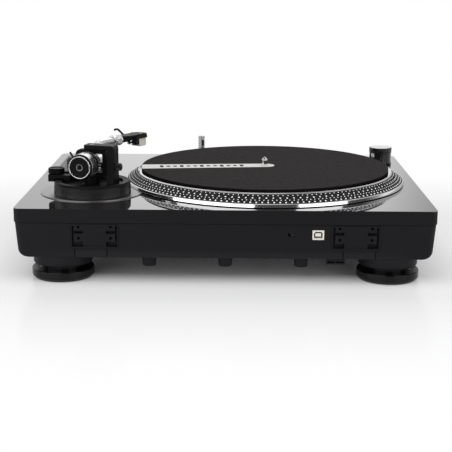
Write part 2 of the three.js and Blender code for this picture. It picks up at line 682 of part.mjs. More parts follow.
function outputSwitch() {
  const [half, tall] = [SWITCH_KNOB_WIDTH / 2, SWITCH_KNOB_HEIGHT / 2];
  const x = SWITCH_X - SWITCH_TRAVEL / 2;
  const inner = CASING_REAR - CASING_WALL - FIT;
  const knob = block(-half, half, inner - 1, CASING_REAR - FIT, -tall, tall);
  const slide = block(-2 * half, 2 * half, CASING_REAR - SWITCH_DEPTH, inner, -2 * tall, 2 * tall);
  return join(knob, slide).translate(x, 0, JACK_Z);
}

// Mains inlet with a two-pin recess, and the pair of signal jacks with an earth post.
function mainsInlet() {
  const [half, tall] = [INLET_WIDTH / 2, INLET_HEIGHT / 2];
  const front = BAY.y0 + FIT;
  const body = block(-half, half, front - INLET_DEPTH, front + 1, -tall, tall);
  const [wide, high] = [half + INLET_FLANGE, tall + INLET_FLANGE];
  const flange = block(-wide, wide, front, front + INLET_FLANGE, -high, high);
  const back = front - INLET_DEPTH + INLET_FLANGE;
  const pair = (radius, y0, y1, sides) => [-1, 1].map((side) =>
    alongY(disc(radius, y0, y1, sides)).translate(side * (INLET_LOBE - 0.4), 0, 0));
  const recess = join(...pair(INLET_LOBE, back + 1, front + 2 * INLET_FLANGE, SMALL_SIDES));
  const pins = pair(INLET_PIN_RADIUS, back, front, 10);
  return join(cut(join(body, flange), recess), ...pins).translate(INLET_X, 0, BAY_MIDDLE_Z);
}

function signalJacks() {
  const front = BAY.y0 + FIT;
  const half = JACK_SPACING / 2 + 2 * JACK_RADIUS + JACK_PLATE_MARGIN;
  const tall = JACK_RADIUS + JACK_PLATE_MARGIN;
  const plate = block(-half, half, front, front + JACK_PLATE_THICKNESS, -tall, tall);
  const jacks = [-1, 1].map((side) =>
    alongY(ringBar(JACK_RADIUS, JACK_RADIUS / 2, front - CASING_WALL, front + JACK_LENGTH, SMALL_SIDES))
      .translate(side * JACK_SPACING / 2, 0, 0));
  const post = alongY(disc(EARTH_POST_RADIUS, front + 1, front + JACK_LENGTH - 2, 12));
  return join(plate, post, ...jacks).translate(SIGNAL_X, 0, BAY_MIDDLE_Z);
}

// ---- Deck layout --------------------------------------------------------------------------

const offset = (centre, radius, bearing) => {
  const [x, y] = polar(radius, bearing);
  return [centre[0] + x, centre[1] + y];
};
const SPINDLE = [PLATTER_X, PLATTER_Y];
const TOWER = offset(SPINDLE, PLATTER_RADIUS + TOWER_PLATTER_GAP + TOWER_RADIUS, TOWER_BEARING);
const LIGHT_DISTANCE = PLATTER_RADIUS + LIGHT_PLATTER_GAP + LIGHT_SLEEVE_WALL + LIGHT_RADIUS;
const LIGHT = offset(SPINDLE, LIGHT_DISTANCE, LIGHT_BEARING);
const PIVOT = offset(SPINDLE, PIVOT_DISTANCE, PIVOT_BEARING);
const START_X = -PLINTH_WIDTH / 2 + START_BUTTON_INSET;
const START_Y = -PLINTH_DEPTH / 2 + START_BUTTON_INSET;
const SPEED_X = START_X + START_BUTTON_SIZE / 2 + SPEED_BUTTON_LENGTH / 2 + 8;
const SPEED_Y = START_Y - START_BUTTON_SIZE / 2 + SPEED_BUTTON_WIDTH / 2;
const PITCH_X = PLINTH_WIDTH / 2 - PITCH_INSET;
const PITCH_SLOT = 2 * PITCH_TRAVEL + PITCH_STEM + 2 * FIT;

const BUTTONS = {
  start_stop_button: [START_X, START_Y, START_BUTTON_SIZE, START_BUTTON_SIZE],
  speed_33_button: [SPEED_X, SPEED_Y, SPEED_BUTTON_LENGTH, SPEED_BUTTON_WIDTH],
  speed_45_button: [SPEED_X + SPEED_BUTTON_SPACING, SPEED_Y, SPEED_BUTTON_LENGTH, SPEED_BUTTON_WIDTH],
};
const BUTTON_FLANGE_BOTTOM = -COVER_THICKNESS - FIT - BUTTON_FLANGE;
const TACT_SWITCH_RISE = 2.4;
const TACT_SWITCH_SIZE = 6;
const CONTROL_BOARD_TOP = BUTTON_FLANGE_BOTTOM - BUTTON_TRAVEL - FIT - TACT_SWITCH_RISE;
const CONTROL_POST_RADIUS = 3;
const CONTROL_POST_Y = START_Y + START_BUTTON_SIZE / 2 + BUTTON_LIP + CONTROL_POST_RADIUS + 1;

// Posts under the cover that the control board is screwed to.
function controlPosts() {
  return [START_X, SPEED_X + SPEED_BUTTON_SPACING].map((x) =>
    disc(CONTROL_POST_RADIUS, DECK + CONTROL_BOARD_TOP + FIT, DECK - COVER_THICKNESS + 1, 12)
      .translate(x, CONTROL_POST_Y, 0));
}

const pitchSlotCut = (z0, z1) =>
  block(-PITCH_SLOT_WIDTH / 2, PITCH_SLOT_WIDTH / 2, -PITCH_SLOT / 2, PITCH_SLOT / 2, z0, z1);

function topCover() {
  const skirt = DECK - COVER_SKIRT;
  const [below, above] = [DECK - 2 * COVER_THICKNESS, DECK + 1];
  const slab = roundedBlock(PLINTH_WIDTH, PLINTH_DEPTH, PLAN_CORNER_RADIUS, skirt, DECK, COVER_EDGE_BEVEL);
  const hollow = roundedBlock(PLINTH_WIDTH - 2 * COVER_WALL, PLINTH_DEPTH - 2 * COVER_WALL,
    PLAN_CORNER_RADIUS - COVER_WALL, skirt - 1, DECK - COVER_THICKNESS);
  const through = (radius, [x, y], sides) => disc(radius, below, above, sides).translate(x, y, 0);
  const wells = Object.values(BUTTONS).map(([x, y, width, depth]) =>
    roundedBlock(width + 2 * FIT, depth + 2 * FIT, BUTTON_CORNER, below, above).translate(x, y, 0));
  const pitchSlot = pitchSlotCut(below, above).translate(PITCH_X, PITCH_CENTRE_Y, 0);
  return cut(join(cut(slab, hollow), ...controlPosts()), pitchSlot, ...wells,
    through(STATOR_RADIUS + FIT, SPINDLE),
    through(ARM_STEM_RADIUS + FIT, PIVOT, SIDES / 2),
    through(LIGHT_RADIUS + 2 * FIT + LIGHT_SLEEVE_WALL, LIGHT, SMALL_SIDES));
}

// Press button held under the cover by its flange.
function pressButton(width, depth) {
  const cap = roundedBlock(width, depth, BUTTON_CORNER, BUTTON_FLANGE_BOTTOM + 1, BUTTON_RISE, BUTTON_BEVEL);
  const flange = roundedBlock(width + 2 * BUTTON_LIP, depth + 2 * BUTTON_LIP, BUTTON_CORNER,
    BUTTON_FLANGE_BOTTOM, BUTTON_FLANGE_BOTTOM + BUTTON_FLANGE);
  return join(cap, flange);
}

// Board under the buttons with one tactile switch below each.
function controlBoard() {
  const top = CONTROL_BOARD_TOP;
  const right = SPEED_X + SPEED_BUTTON_SPACING + SPEED_BUTTON_LENGTH / 2;
  const half = START_BUTTON_SIZE / 2;
  const rear = CONTROL_POST_Y + CONTROL_POST_RADIUS + 1;
  const board = block(START_X - half, right, START_Y - half, rear, top - BOARD_THICKNESS, top);
  const switches = Object.values(BUTTONS).map(([x, y]) =>
    roundedBlock(TACT_SWITCH_SIZE, TACT_SWITCH_SIZE, 1, top - 1, top + TACT_SWITCH_RISE).translate(x, y, 0));
  return join(board, ...switches);
}

function pitchPlate() {
  const length = 2 * PITCH_TRAVEL + PITCH_KNOB_LENGTH + 2 * PITCH_PLATE_MARGIN;
  const plate = roundedBlock(PITCH_PLATE_WIDTH, length, 2, FIT, FIT + PITCH_PLATE_THICKNESS);
  return cut(plate, pitchSlotCut(0, FIT + 2 * PITCH_PLATE_THICKNESS));
}

const FADER_TOP = -COVER_THICKNESS - FIT;
const FADER_FLOOR = FADER_TOP - FADER_HEIGHT + FADER_WALL;

function pitchFader() {
  const [wide, long] = [FADER_WIDTH / 2, PITCH_SLOT / 2 + FADER_MARGIN];
  const body = block(-wide, wide, -long, long, FADER_FLOOR - FADER_WALL, FADER_TOP);
  return cut(body, pitchSlotCut(FADER_FLOOR, FADER_TOP + 1));
}

function pitchKnob() {
  const bottom = 2 * FIT + PITCH_PLATE_THICKNESS;
  const outline = new THREE.Shape();
  const half = PITCH_KNOB_LENGTH / 2;
  const top = bottom + PITCH_KNOB_HEIGHT;
  outline.moveTo(-half, bottom);
  outline.lineTo(half, bottom);
  outline.lineTo(half - 1, top);
  outline.quadraticCurveTo(0, top - PITCH_KNOB_DISH, 1 - half, top);
  const grip = sidePrism(outline, PITCH_KNOB_WIDTH, 0.4).rotateZ(Math.PI / 2);
  const wide = PITCH_SLOT_WIDTH / 2 - FIT;
  const stem = block(-wide, wide, -PITCH_STEM / 2, PITCH_STEM / 2, FADER_FLOOR + FIT, bottom + 1);
  return join(grip, stem);
}

// ---- Motor and platter, heights from the deck surface --------------------------------------

const WEB_UNDERSIDE = PLATTER_TOP - PLATTER_WEB;
const HUB_BOTTOM = WEB_UNDERSIDE - HUB_DEPTH;
const BEARING_TOP = HUB_BOTTOM - FIT;

function motorStator() {
  const bore = HUB_RADIUS + STATOR_HUB_GAP;
  const flangeTop = -COVER_THICKNESS - FIT;
  const bottom = flangeTop - STATOR_FLANGE;
  const top = WEB_UNDERSIDE - ROTOR_GAP;
  return turned([
    [bore, bottom], [STATOR_FLANGE_RADIUS, bottom], [STATOR_FLANGE_RADIUS, flangeTop],
    [STATOR_RADIUS, flangeTop], [STATOR_RADIUS, top], [bore, top], [bore, bottom],
  ]);
}

function spindleBearing() {
  const seat = -COVER_THICKNESS - 2 * FIT - STATOR_FLANGE;
  const bore = SPINDLE_RADIUS + FIT;
  const floor = -SPINDLE_DEPTH - FIT;
  const bottom = floor - BEARING_FLANGE;
  const under = seat - BEARING_FLANGE;
  return turned([
    [0, bottom], [BEARING_RADIUS, bottom], [BEARING_RADIUS, under], [BEARING_FLANGE_RADIUS, under],
    [BEARING_FLANGE_RADIUS, seat], [BEARING_RADIUS, seat], [BEARING_RADIUS, BEARING_TOP],
    [bore, BEARING_TOP], [bore, floor], [0, floor],
  ], HIDDEN_SIDES);
}

function platter() {
  const bore = SPINDLE_RADIUS + FIT;
  const bottom = PLATTER_RUNNING_GAP;
  const rimTop = bottom + PLATTER_RIM_HEIGHT;
  const inner = PLATTER_RADIUS - PLATTER_RIM_WALL;
  const edge = RIM_ROUNDING;
  return turned([
    [bore, HUB_BOTTOM], [HUB_RADIUS, HUB_BOTTOM], [HUB_RADIUS, WEB_UNDERSIDE],
    [PLATTER_FACE_RADIUS - 2.5, WEB_UNDERSIDE], [inner, bottom + 1.6], [inner, bottom],
    [PLATTER_RADIUS - edge, bottom], [PLATTER_RADIUS, bottom + edge], [PLATTER_RADIUS, rimTop - edge],
    [PLATTER_RADIUS - edge, rimTop], [PLATTER_FACE_RADIUS, PLATTER_TOP], [bore, PLATTER_TOP],
    [bore, HUB_BOTTOM],
  ], FINE_SIDES);
}

function addPlatter() {
  const group = groupAt(player, 'platter_axis', PLATTER_X, PLATTER_Y, DECK);
  const tip = MAT_TOP + SPINDLE_RISE;
  add(group, 'platter', platter(), SILVER);
  const matHole = SPINDLE_RADIUS + FIT;
  const mat = ringBar(PLATTER_FACE_RADIUS - MAT_MARGIN, matHole, PLATTER_TOP + FIT, MAT_TOP, FINE_SIDES);
  add(group, 'slipmat', mat, FELT);
  add(group, 'spindle', turned([
    [0, -SPINDLE_DEPTH], [SPINDLE_RADIUS, -SPINDLE_DEPTH], [SPINDLE_RADIUS, tip - SPINDLE_RADIUS],
    [SPINDLE_RADIUS / 3, tip - 0.5], [0, tip],
  ], SMALL_SIDES), CHROME);
  const magnetBore = STATOR_RADIUS + ROTOR_GAP;
  const magnet = ringBar(magnetBore + ROTOR_WALL, magnetBore, ROTOR_GAP, WEB_UNDERSIDE - FIT);
  add(group, 'rotor_magnet', magnet, STEEL);
  add(group, 'motor_stator', motorStator(), COPPER);
  add(group, 'spindle_bearing', spindleBearing(), STEEL);
}

// ---- Strobe tower, power knob and stylus light ---------------------------------------------

function addTower() {
  const group = groupAt(player, 'power_axis', ...TOWER, DECK);
  const facing = (geometry) =>
    alongX(geometry).translate(0, 0, TOWER_HEIGHT - LENS_DROP).rotateZ(degrees(TOWER_BEARING + 180));
  const lensBack = TOWER_RADIUS / 2;
  const socket = TOWER_HEIGHT - POWER_SHAFT_DEPTH;
  const column = cut(disc(TOWER_RADIUS, FIT, TOWER_HEIGHT, TOWER_SIDES),
    facing(disc(LENS_RADIUS + FIT, lensBack, 2 * TOWER_RADIUS, SMALL_SIDES)),
    disc(POWER_SHAFT_RADIUS + FIT, socket, TOWER_HEIGHT + 1, SMALL_SIDES));
  add(group, 'strobe_tower', column, BLACK_METAL);
  const lens = disc(LENS_RADIUS, lensBack + FIT, TOWER_RADIUS - FIT, SMALL_SIDES, LENS_RADIUS - FIT);
  add(group, 'strobe_lens', facing(lens), CLEAR);
  const base = TOWER_HEIGHT + FIT;
  const rim = base + POWER_KNOB_HEIGHT;
  const cap = turned([
    [0, base], [TOWER_RADIUS, base], [TOWER_RADIUS, rim - POWER_KNOB_BEVEL],
    [TOWER_RADIUS - POWER_KNOB_BEVEL, rim], [0, rim],
  ], TOWER_SIDES);
  add(group, 'power_knob', join(cap, disc(POWER_SHAFT_RADIUS, socket + FIT, base + 1, SMALL_SIDES)), SILVER);
}

function addStylusLight() {
  const group = groupAt(player, 'light_axis', ...LIGHT, DECK);
  const bore = LIGHT_RADIUS + FIT;
  const bottom = -COVER_THICKNESS - LIGHT_SLEEVE_LENGTH;
  const sleeve = ringBar(bore + LIGHT_SLEEVE_WALL, bore, bottom, LIGHT_SLEEVE_RIM, SMALL_SIDES);
  add(group, 'light_sleeve', sleeve, CHROME);
  const shoulder = LIGHT_RISE - LIGHT_BEVEL;
  const stem = turned([
    [0, bottom - LIGHT_TAIL], [LIGHT_RADIUS, bottom - LIGHT_TAIL], [LIGHT_RADIUS, shoulder],
    [LIGHT_RADIUS - LIGHT_BEVEL, LIGHT_RISE], [0, LIGHT_RISE],
  ], SMALL_SIDES);
  const [low, high] = [LIGHT_RISE - LIGHT_RADIUS * 1.7, LIGHT_RISE - LIGHT_RADIUS * 0.6];
  const wide = LIGHT_RADIUS * 0.4;
  const window = block(LIGHT_RADIUS * 0.65, LIGHT_RADIUS + 1, -wide, wide, low, high);
  add(group, 'stylus_light', cut(stem, window.rotateZ(degrees(LIGHT_BEARING + 180))), CHROME);
}

// ---- Tonearm base, heights from the deck surface -------------------------------------------

const GIMBAL_BOTTOM = ARM_HEIGHT - GIMBAL_HALF_HEIGHT;
const GIMBAL_TOP = ARM_HEIGHT + GIMBAL_HALF_HEIGHT;
const PILLAR_TOP = GIMBAL_BOTTOM - 1.4 * FIT;
const GIMBAL_PIN_LENGTH = 5;
const YOKE_TOP = GIMBAL_TOP + 1.4 * FIT + YOKE_BAR;
const YOKE_INNER = GIMBAL_HALF_WIDTH + YOKE_GAP;
const YOKE_OUTER = YOKE_INNER + YOKE_LEG;
const LOCK_X = -YOKE_DEPTH / 4;
const LOCK_SHAFT_RADIUS = 1.5;
const LOCK_SHAFT_END = -YOKE_INNER - 3;
const tubeBottom = (distance) => ARM_HEIGHT - distance * Math.sin(degrees(REST_TILT)) - TUBE_RADIUS;
const CUE_BAR_TOP = tubeBottom(CUE_BAR_RADIUS + CUE_BAR_WIDTH) - CUE_TRAVEL - FIT;
const CUE_BAR_BOTTOM = CUE_BAR_TOP - 2.2;
const inArmFrame = (geometry) => geometry.rotateZ(degrees(REST_AZIMUTH));

function heightRing() {
  const outline = new THREE.Shape();
  for (let i = 0; i < 2 * HEIGHT_RING_RIBS; i += 1) {
    const radius = HEIGHT_RING_RADIUS - (i % 2) * RIB_DEPTH;
    const [x, y] = polar(radius, 180 * i / HEIGHT_RING_RIBS);
    if (i === 0) outline.moveTo(x, y);
    else outline.lineTo(x, y);
  }
  const outer = HEIGHT_RING_RADIUS + 1;
  const chamfer = HEIGHT_RING_TOP - RING_CHAMFER;
  const envelope = turned([
    [RING_BORE, RING_BOTTOM], [outer, RING_BOTTOM], [outer, chamfer],
    [outer - RING_CHAMFER, HEIGHT_RING_TOP], [RING_BORE, HEIGHT_RING_TOP], [RING_BORE, RING_BOTTOM],
  ]);
  return common(prism(outline, RING_BOTTOM - 1, HEIGHT_RING_TOP + 1), envelope);
}

const DIAL_CENTRE = polar(SHELF_RADIUS - 0.65 * DIAL_RADIUS, DIAL_BEARING);
const cuePost = (radius, z0, z1) =>
  disc(radius, z0, z1, SMALL_SIDES).translate(CUE_BAR_RADIUS, CUE_POST_SIDE, 0);

function armMount() {
  const core = RING_BORE - FIT;
  const inner = core - SHELF_WALL;
  const shelf = (outer, end, bottom) => sector(inner, outer, SHELF_START, end, bottom, SHELF_TOP);
  const dialHole = disc(DIAL_SHAFT_RADIUS + FIT, SHELF_BOTTOM + 1, SHELF_TOP + 1, SMALL_SIDES)
    .translate(...DIAL_CENTRE, 0);
  const restHalf = TUBE_RADIUS + 1;
  const restArm = block(inner, REST_RADIUS + REST_WIDTH / 2, -restHalf, restHalf, SHELF_BOTTOM, SHELF_TOP);
  const lip = sector(HEIGHT_RING_RADIUS + 1, SHELF_RADIUS, SHELF_START, SHELF_START - SHELF_LIP,
    SHELF_BOTTOM - SHELF_DROP, SHELF_TOP);
  const body = join(
    disc(ARM_STEM_RADIUS, -ARM_STEM_DEPTH, RING_BOTTOM + 1, SIDES / 2),
    disc(core, RING_BOTTOM, MOUNT_FLOOR),
    disc(PILLAR_RADIUS, MOUNT_FLOOR - 1, PILLAR_TOP, SIDES / 2),
    shelf(core - FIT, SHELF_END, MOUNT_FLOOR - 1),
    shelf(SHELF_RADIUS, SHELF_END, SHELF_BOTTOM),
    lip,
    inArmFrame(restArm),
  );
  return cut(body, dialHole,
    disc(GIMBAL_PIN_RADIUS + FIT, PILLAR_TOP - GIMBAL_PIN_LENGTH - FIT, PILLAR_TOP + 1, SMALL_SIDES),
    inArmFrame(cuePost(CUE_POST_RADIUS + FIT, SHELF_BOTTOM - 1, SHELF_TOP + 1)));
}

function antiskateDial() {
  const bottom = SHELF_TOP + FIT;
  const top = bottom + DIAL_HEIGHT;
  const dish = top - DIAL_DISH;
  const cap = turned([
    [0, bottom], [DIAL_RADIUS, bottom], [DIAL_RADIUS, top - 0.5], [DIAL_RADIUS - 0.5, top],
    [DIAL_RADIUS - DIAL_RIM, top], [DIAL_RADIUS - DIAL_RIM - 0.5, dish], [0, dish],
  ], SIDES / 2);
  return join(cap, disc(DIAL_SHAFT_RADIUS, SHELF_BOTTOM + 1 + FIT, bottom + 1, SMALL_SIDES));
}

// Hook-shaped bracket: a leg beside the gimbal and a bar over it, carrying the upper bearing.
function yoke() {
  const base = MOUNT_FLOOR + FIT;
  const outline = new THREE.Shape();
  outline.moveTo(YOKE_OVERHANG, YOKE_TOP);
  outline.lineTo(YOKE_OVERHANG, YOKE_TOP - YOKE_BAR);
  outline.lineTo(-YOKE_INNER, YOKE_TOP - YOKE_BAR);
  outline.lineTo(-YOKE_INNER, base);
  outline.lineTo(-YOKE_OUTER, base);
  outline.absarc(-YOKE_OUTER + YOKE_CORNER, YOKE_TOP - YOKE_CORNER, YOKE_CORNER, Math.PI, Math.PI / 2, true);
  const hook = sidePrism(outline, YOKE_DEPTH, 0.6).rotateZ(Math.PI / 2);
  const skirt = new THREE.Shape();
  const half = YOKE_DEPTH / 2 - 0.5;
  skirt.moveTo(-half - YOKE_FLARE, base);
  skirt.lineTo(half + YOKE_FLARE / 2, base);
  skirt.lineTo(half, ARM_HEIGHT);
  skirt.lineTo(-half, GIMBAL_TOP);
  const foot = sidePrism(skirt, YOKE_LEG - 0.4).translate(0, -(YOKE_INNER + YOKE_OUTER) / 2, 0);
  const knobHole = alongY(disc(LOCK_SHAFT_RADIUS + FIT, -YOKE_OUTER - 1, LOCK_SHAFT_END, 12))
    .translate(LOCK_X, 0, LOCK_KNOB_HEIGHT);
  const screwHole = disc(TOP_SCREW_RADIUS + FIT, GIMBAL_TOP, YOKE_TOP + 1, SMALL_SIDES);
  return cut(join(hook, foot), screwHole, knobHole);
}

function lockKnob() {
  const face = -YOKE_OUTER - FIT;
  const knob = disc(LOCK_KNOB_RADIUS, face - LOCK_KNOB_LENGTH, face, SMALL_SIDES);
  const shaft = disc(LOCK_SHAFT_RADIUS, face - 1, LOCK_SHAFT_END - FIT, 12);
  return alongY(join(knob, shaft)).translate(LOCK_X, 0, LOCK_KNOB_HEIGHT);
}

// Block on the shelf that guides the cue bar's post and carries the lever on its ear.
const CUE_EAR = { x0: CUE_BAR_RADIUS - CUE_BLOCK / 2, x1: CUE_BAR_RADIUS - CUE_BAR_WIDTH / 2 - FIT };
const CUE_AXIS_HEIGHT = CUE_BAR_TOP + 1;
const CUE_AXIS_SIDE = CUE_POST_SIDE - 2;

function cueColumn() {
  const [y0, y1] = [CUE_POST_SIDE - CUE_BLOCK / 2, CUE_POST_SIDE + CUE_BLOCK / 2];
  const front = CUE_BAR_RADIUS + CUE_BLOCK / 2;
  const base = SHELF_TOP + FIT;
  const low = block(CUE_EAR.x0, front, y0, y1, base, CUE_BAR_BOTTOM - FIT);
  const ear = block(CUE_EAR.x0, CUE_EAR.x1, y0, y1, base, CUE_AXIS_HEIGHT + CUE_HUB_RADIUS);
  const pinHole = alongX(disc(CUE_PIN_RADIUS + FIT, CUE_EAR.x0 - 1, CUE_EAR.x0 + CUE_PIN_DEPTH, 12))
    .translate(0, CUE_AXIS_SIDE, CUE_AXIS_HEIGHT);
  return cut(join(low, ear), cuePost(CUE_POST_RADIUS + FIT, SHELF_TOP, 2 * CUE_BAR_TOP), pinHole);
}

function cuePlatform() {
  const [x0, x1] = [CUE_BAR_RADIUS - CUE_BAR_WIDTH / 2, CUE_BAR_RADIUS + CUE_BAR_WIDTH / 2];
  const arc = sector(x0, x1, -CUE_BAR_SWEEP, 4, CUE_BAR_BOTTOM, CUE_BAR_TOP);
  const bar = block(x0, x1, 0, CUE_POST_SIDE + 3, CUE_BAR_BOTTOM, CUE_BAR_TOP);
  return join(bar, arc, cuePost(CUE_POST_RADIUS, SHELF_BOTTOM + 1, CUE_BAR_BOTTOM + 1));
}

function cueLever() {
  const face = CUE_EAR.x0 - FIT;
  const hub = alongX(disc(CUE_HUB_RADIUS, face - CUE_HUB_WIDTH, face, SMALL_SIDES));
  const pin = alongX(disc(CUE_PIN_RADIUS, face - 1, CUE_EAR.x0 + CUE_PIN_DEPTH - FIT, 12));
  const tilt = degrees(CUE_LEVER_TILT);
  const length = (CUE_LEVER_TOP - CUE_AXIS_HEIGHT) / Math.cos(tilt);
  const rod = disc(CUE_LEVER_RADIUS, 0, length, 12).rotateX(-tilt).translate(face - CUE_HUB_WIDTH / 2, 0, 0);
  return join(hub, pin, rod).translate(0, CUE_AXIS_SIDE, CUE_AXIS_HEIGHT);
}

// Cradle under the tube with one outer cheek, its inner side open, and a hook clip on two ears.
const REST_X0 = REST_RADIUS - REST_WIDTH / 2;
const REST_X1 = REST_RADIUS + REST_WIDTH / 2;
const CHEEK_INNER = TUBE_RADIUS + FIT + 0.2;
const CHEEK_OUTER = CHEEK_INNER + REST_CHEEK;
const CLIP_AXIS_Y = CHEEK_OUTER + 2.4;
const CLIP_AXIS_Z = ARM_HEIGHT - 3;

function armRest() {
  const base = SHELF_TOP + FIT;
  const saddle = block(REST_X0, REST_X1, -TUBE_RADIUS, CHEEK_OUTER, base, tubeBottom(REST_X1) - FIT);
  const cheek = block(REST_X0, REST_X1, CHEEK_INNER, CHEEK_OUTER, base, ARM_HEIGHT);
  const ears = [REST_X0, REST_X1 - CLIP_EAR].map((x) =>
    block(x, x + CLIP_EAR, CHEEK_OUTER - 1, CLIP_AXIS_Y + 1.8, CLIP_AXIS_Z - 2, CLIP_AXIS_Z + 2));
  const pin = alongX(disc(CLIP_PIN, REST_X0 + CLIP_EAR / 2, REST_X1 - CLIP_EAR / 2, 12))
    .translate(0, CLIP_AXIS_Y, CLIP_AXIS_Z);
  return join(saddle, cheek, ...ears, pin);
}

function restClip() {
  const [x0, x1] = [REST_X0 + CLIP_EAR + FIT, REST_X1 - CLIP_EAR - FIT];
  const hub = alongX(disc(CLIP_PIN + FIT + CLIP_EAR, x0, x1, SMALL_SIDES));
  const bore = alongX(disc(CLIP_PIN + FIT, x0 - 1, x1 + 1, SMALL_SIDES));
  const blade = block(x0, x1, -CLIP_THICKNESS / 2, CLIP_THICKNESS / 2, 0, CLIP_REACH);
  const hook = block(x0, x1, -CLIP_HOOK, CLIP_THICKNESS / 2, CLIP_REACH - CLIP_THICKNESS, CLIP_REACH);
  return cut(join(hub, blade, hook), bore)
    .rotateX(-degrees(CLIP_OPEN_ANGLE)).translate(0, CLIP_AXIS_Y, CLIP_AXIS_Z);
}

function addArmBase() {
  const group = groupAt(player, 'arm_axis', ...PIVOT, DECK);
  const stemHole = disc(ARM_STEM_RADIUS + FIT, -1, 3, SIDES / 2);
  const plate = disc(ESCUTCHEON_RADIUS, FIT, FIT + ESCUTCHEON_THICKNESS)
    .translate(ESCUTCHEON_OFFSET_X, ESCUTCHEON_OFFSET_Y, 0);
  add(group, 'arm_escutcheon', cut(plate, stemHole), GLOSS_BLACK);
  add(group, 'height_ring', cut(heightRing(), disc(RING_BORE, 0, HEIGHT_RING_TOP + 1)), SATIN_BLACK);
  add(group, 'arm_mount', armMount(), BLACK_METAL);
  const dial = groupAt(group, 'antiskate_axis', ...DIAL_CENTRE, 0);
  add(dial, 'antiskate_dial', antiskateDial(), BLACK_METAL);
  const frame = groupAt(group, 'arm_frame', 0, 0, 0);
  frame.rotation.z = degrees(REST_AZIMUTH);
  add(frame, 'yoke', yoke(), GLOSS_BLACK);
  const topScrew = disc(TOP_SCREW_RADIUS, GIMBAL_TOP + FIT, YOKE_TOP - FIT, SMALL_SIDES);
  add(frame, 'upper_bearing', topScrew, STEEL);
  add(frame, 'lock_knob', lockKnob(), BLACK_METAL);
  add(frame, 'cue_column', cueColumn(), SATIN_BLACK);
  add(frame, 'cue_platform', cuePlatform(), BLACK_METAL);
  add(frame, 'cue_lever', cueLever(), BLACK_METAL);
  add(frame, 'arm_rest', armRest(), SATIN_BLACK);
  add(frame, 'rest_clip', restClip(), SATIN_BLACK);
  return frame;
}

// ---- Gimbal and tonearm; +X runs forward along the tube's first leg ------------------------

function gimbalRing() {
  const w = GIMBAL_HALF_WIDTH;
  const frame = (inset, thickness) => {
    const [wide, tall] = [w - inset, GIMBAL_HALF_HEIGHT - inset];
    return sidePrism(roundedOutline(-wide, wide, -tall, tall, GIMBAL_CORNER - inset), thickness)
      .rotateZ(Math.PI / 2).translate(0, 0, ARM_HEIGHT);
  };
  const screwBore = alongY(disc(PIVOT_SCREW_RADIUS + FIT, -2 * w, 2 * w, SMALL_SIDES))
    .translate(0, 0, ARM_HEIGHT);
  const pin = disc(GIMBAL_PIN_RADIUS, PILLAR_TOP - GIMBAL_PIN_LENGTH, GIMBAL_BOTTOM + 1, SMALL_SIDES);
  return cut(join(frame(0, GIMBAL_DEPTH), pin), frame(GIMBAL_BAR, 2 * GIMBAL_DEPTH), screwBore);
}

function pivotScrew(side) {
  const head = PIVOT_SCREW_RADIUS + 1;
  const seat = GIMBAL_HALF_WIDTH + FIT;
  const screw = turned([
    [0, HUB_SLEEVE_RADIUS + FIT], [PIVOT_SCREW_RADIUS, HUB_SLEEVE_RADIUS + 2], [PIVOT_SCREW_RADIUS, seat],
    [head, seat], [head, seat + PIVOT_SCREW_HEAD], [0, seat + PIVOT_SCREW_HEAD],
  ], SMALL_SIDES);
  return alongY(screw).rotateZ(side > 0 ? 0 : Math.PI).translate(0, 0, ARM_HEIGHT);
}

// S-shaped centre line: first leg along +X, a crossing leg, and a last leg towards the stylus.
const LAST_LEG_ANGLE = FIRST_LEG_ANGLE - OFFSET_ANGLE;
const STYLUS_POINT = new THREE.Vector3(...polar(EFFECTIVE_LENGTH, FIRST_LEG_ANGLE), 0);
const lastLegPoint = (setback) =>
  STYLUS_POINT.clone().add(new THREE.Vector3(...polar(-setback, LAST_LEG_ANGLE), 0));
const TUBE_END_SETBACK = HEADSHELL_LENGTH + COLLAR_LENGTH / 2;

function tubePath(start) {
  const corners = [new THREE.Vector3(start, 0, 0), new THREE.Vector3(FIRST_LEG, 0, 0),
    lastLegPoint(LAST_LEG), lastLegPoint(TUBE_END_SETBACK)];
  const path = new THREE.CurvePath();
  let from = corners[0];
  for (const i of [1, 2]) {
    const before = corners[i - 1].clone().sub(corners[i]).normalize();
    const after = corners[i + 1].clone().sub(corners[i]).normalize();
    const reach = TUBE_BEND_RADIUS / Math.tan(before.angleTo(after) / 2);
    const [enter, leave] = [before, after].map((way) => corners[i].clone().addScaledVector(way, reach));
    path.add(new THREE.LineCurve3(from, enter));
    path.add(new THREE.QuadraticBezierCurve3(enter, corners[i], leave));
    from = leave;
  }
  path.add(new THREE.LineCurve3(from, corners[3]));
  return path;
}

function armHub() {
  const body = disc(HUB_SLEEVE_RADIUS, -HUB_REAR, HUB_FRONT, SIDES / 2);
  const front = disc(TUBE_RADIUS + FIT, 1, HUB_FRONT + 1, SMALL_SIDES);
  const rear = disc(STUB_RADIUS + FIT, -HUB_REAR - 1, -1, SMALL_SIDES);
  return alongX(cut(body, front, rear));
}

const backward = (geometry) => geometry.rotateY(-Math.PI / 2);
const SLEEVE_RADIUS = STUB_RADIUS + FIT + SLEEVE_WALL;
const WEIGHT_START = WEIGHT_FRONT + WEIGHT_DIAL_WIDTH + FIT;
const SLEEVE_END = STUB_LENGTH + 1;

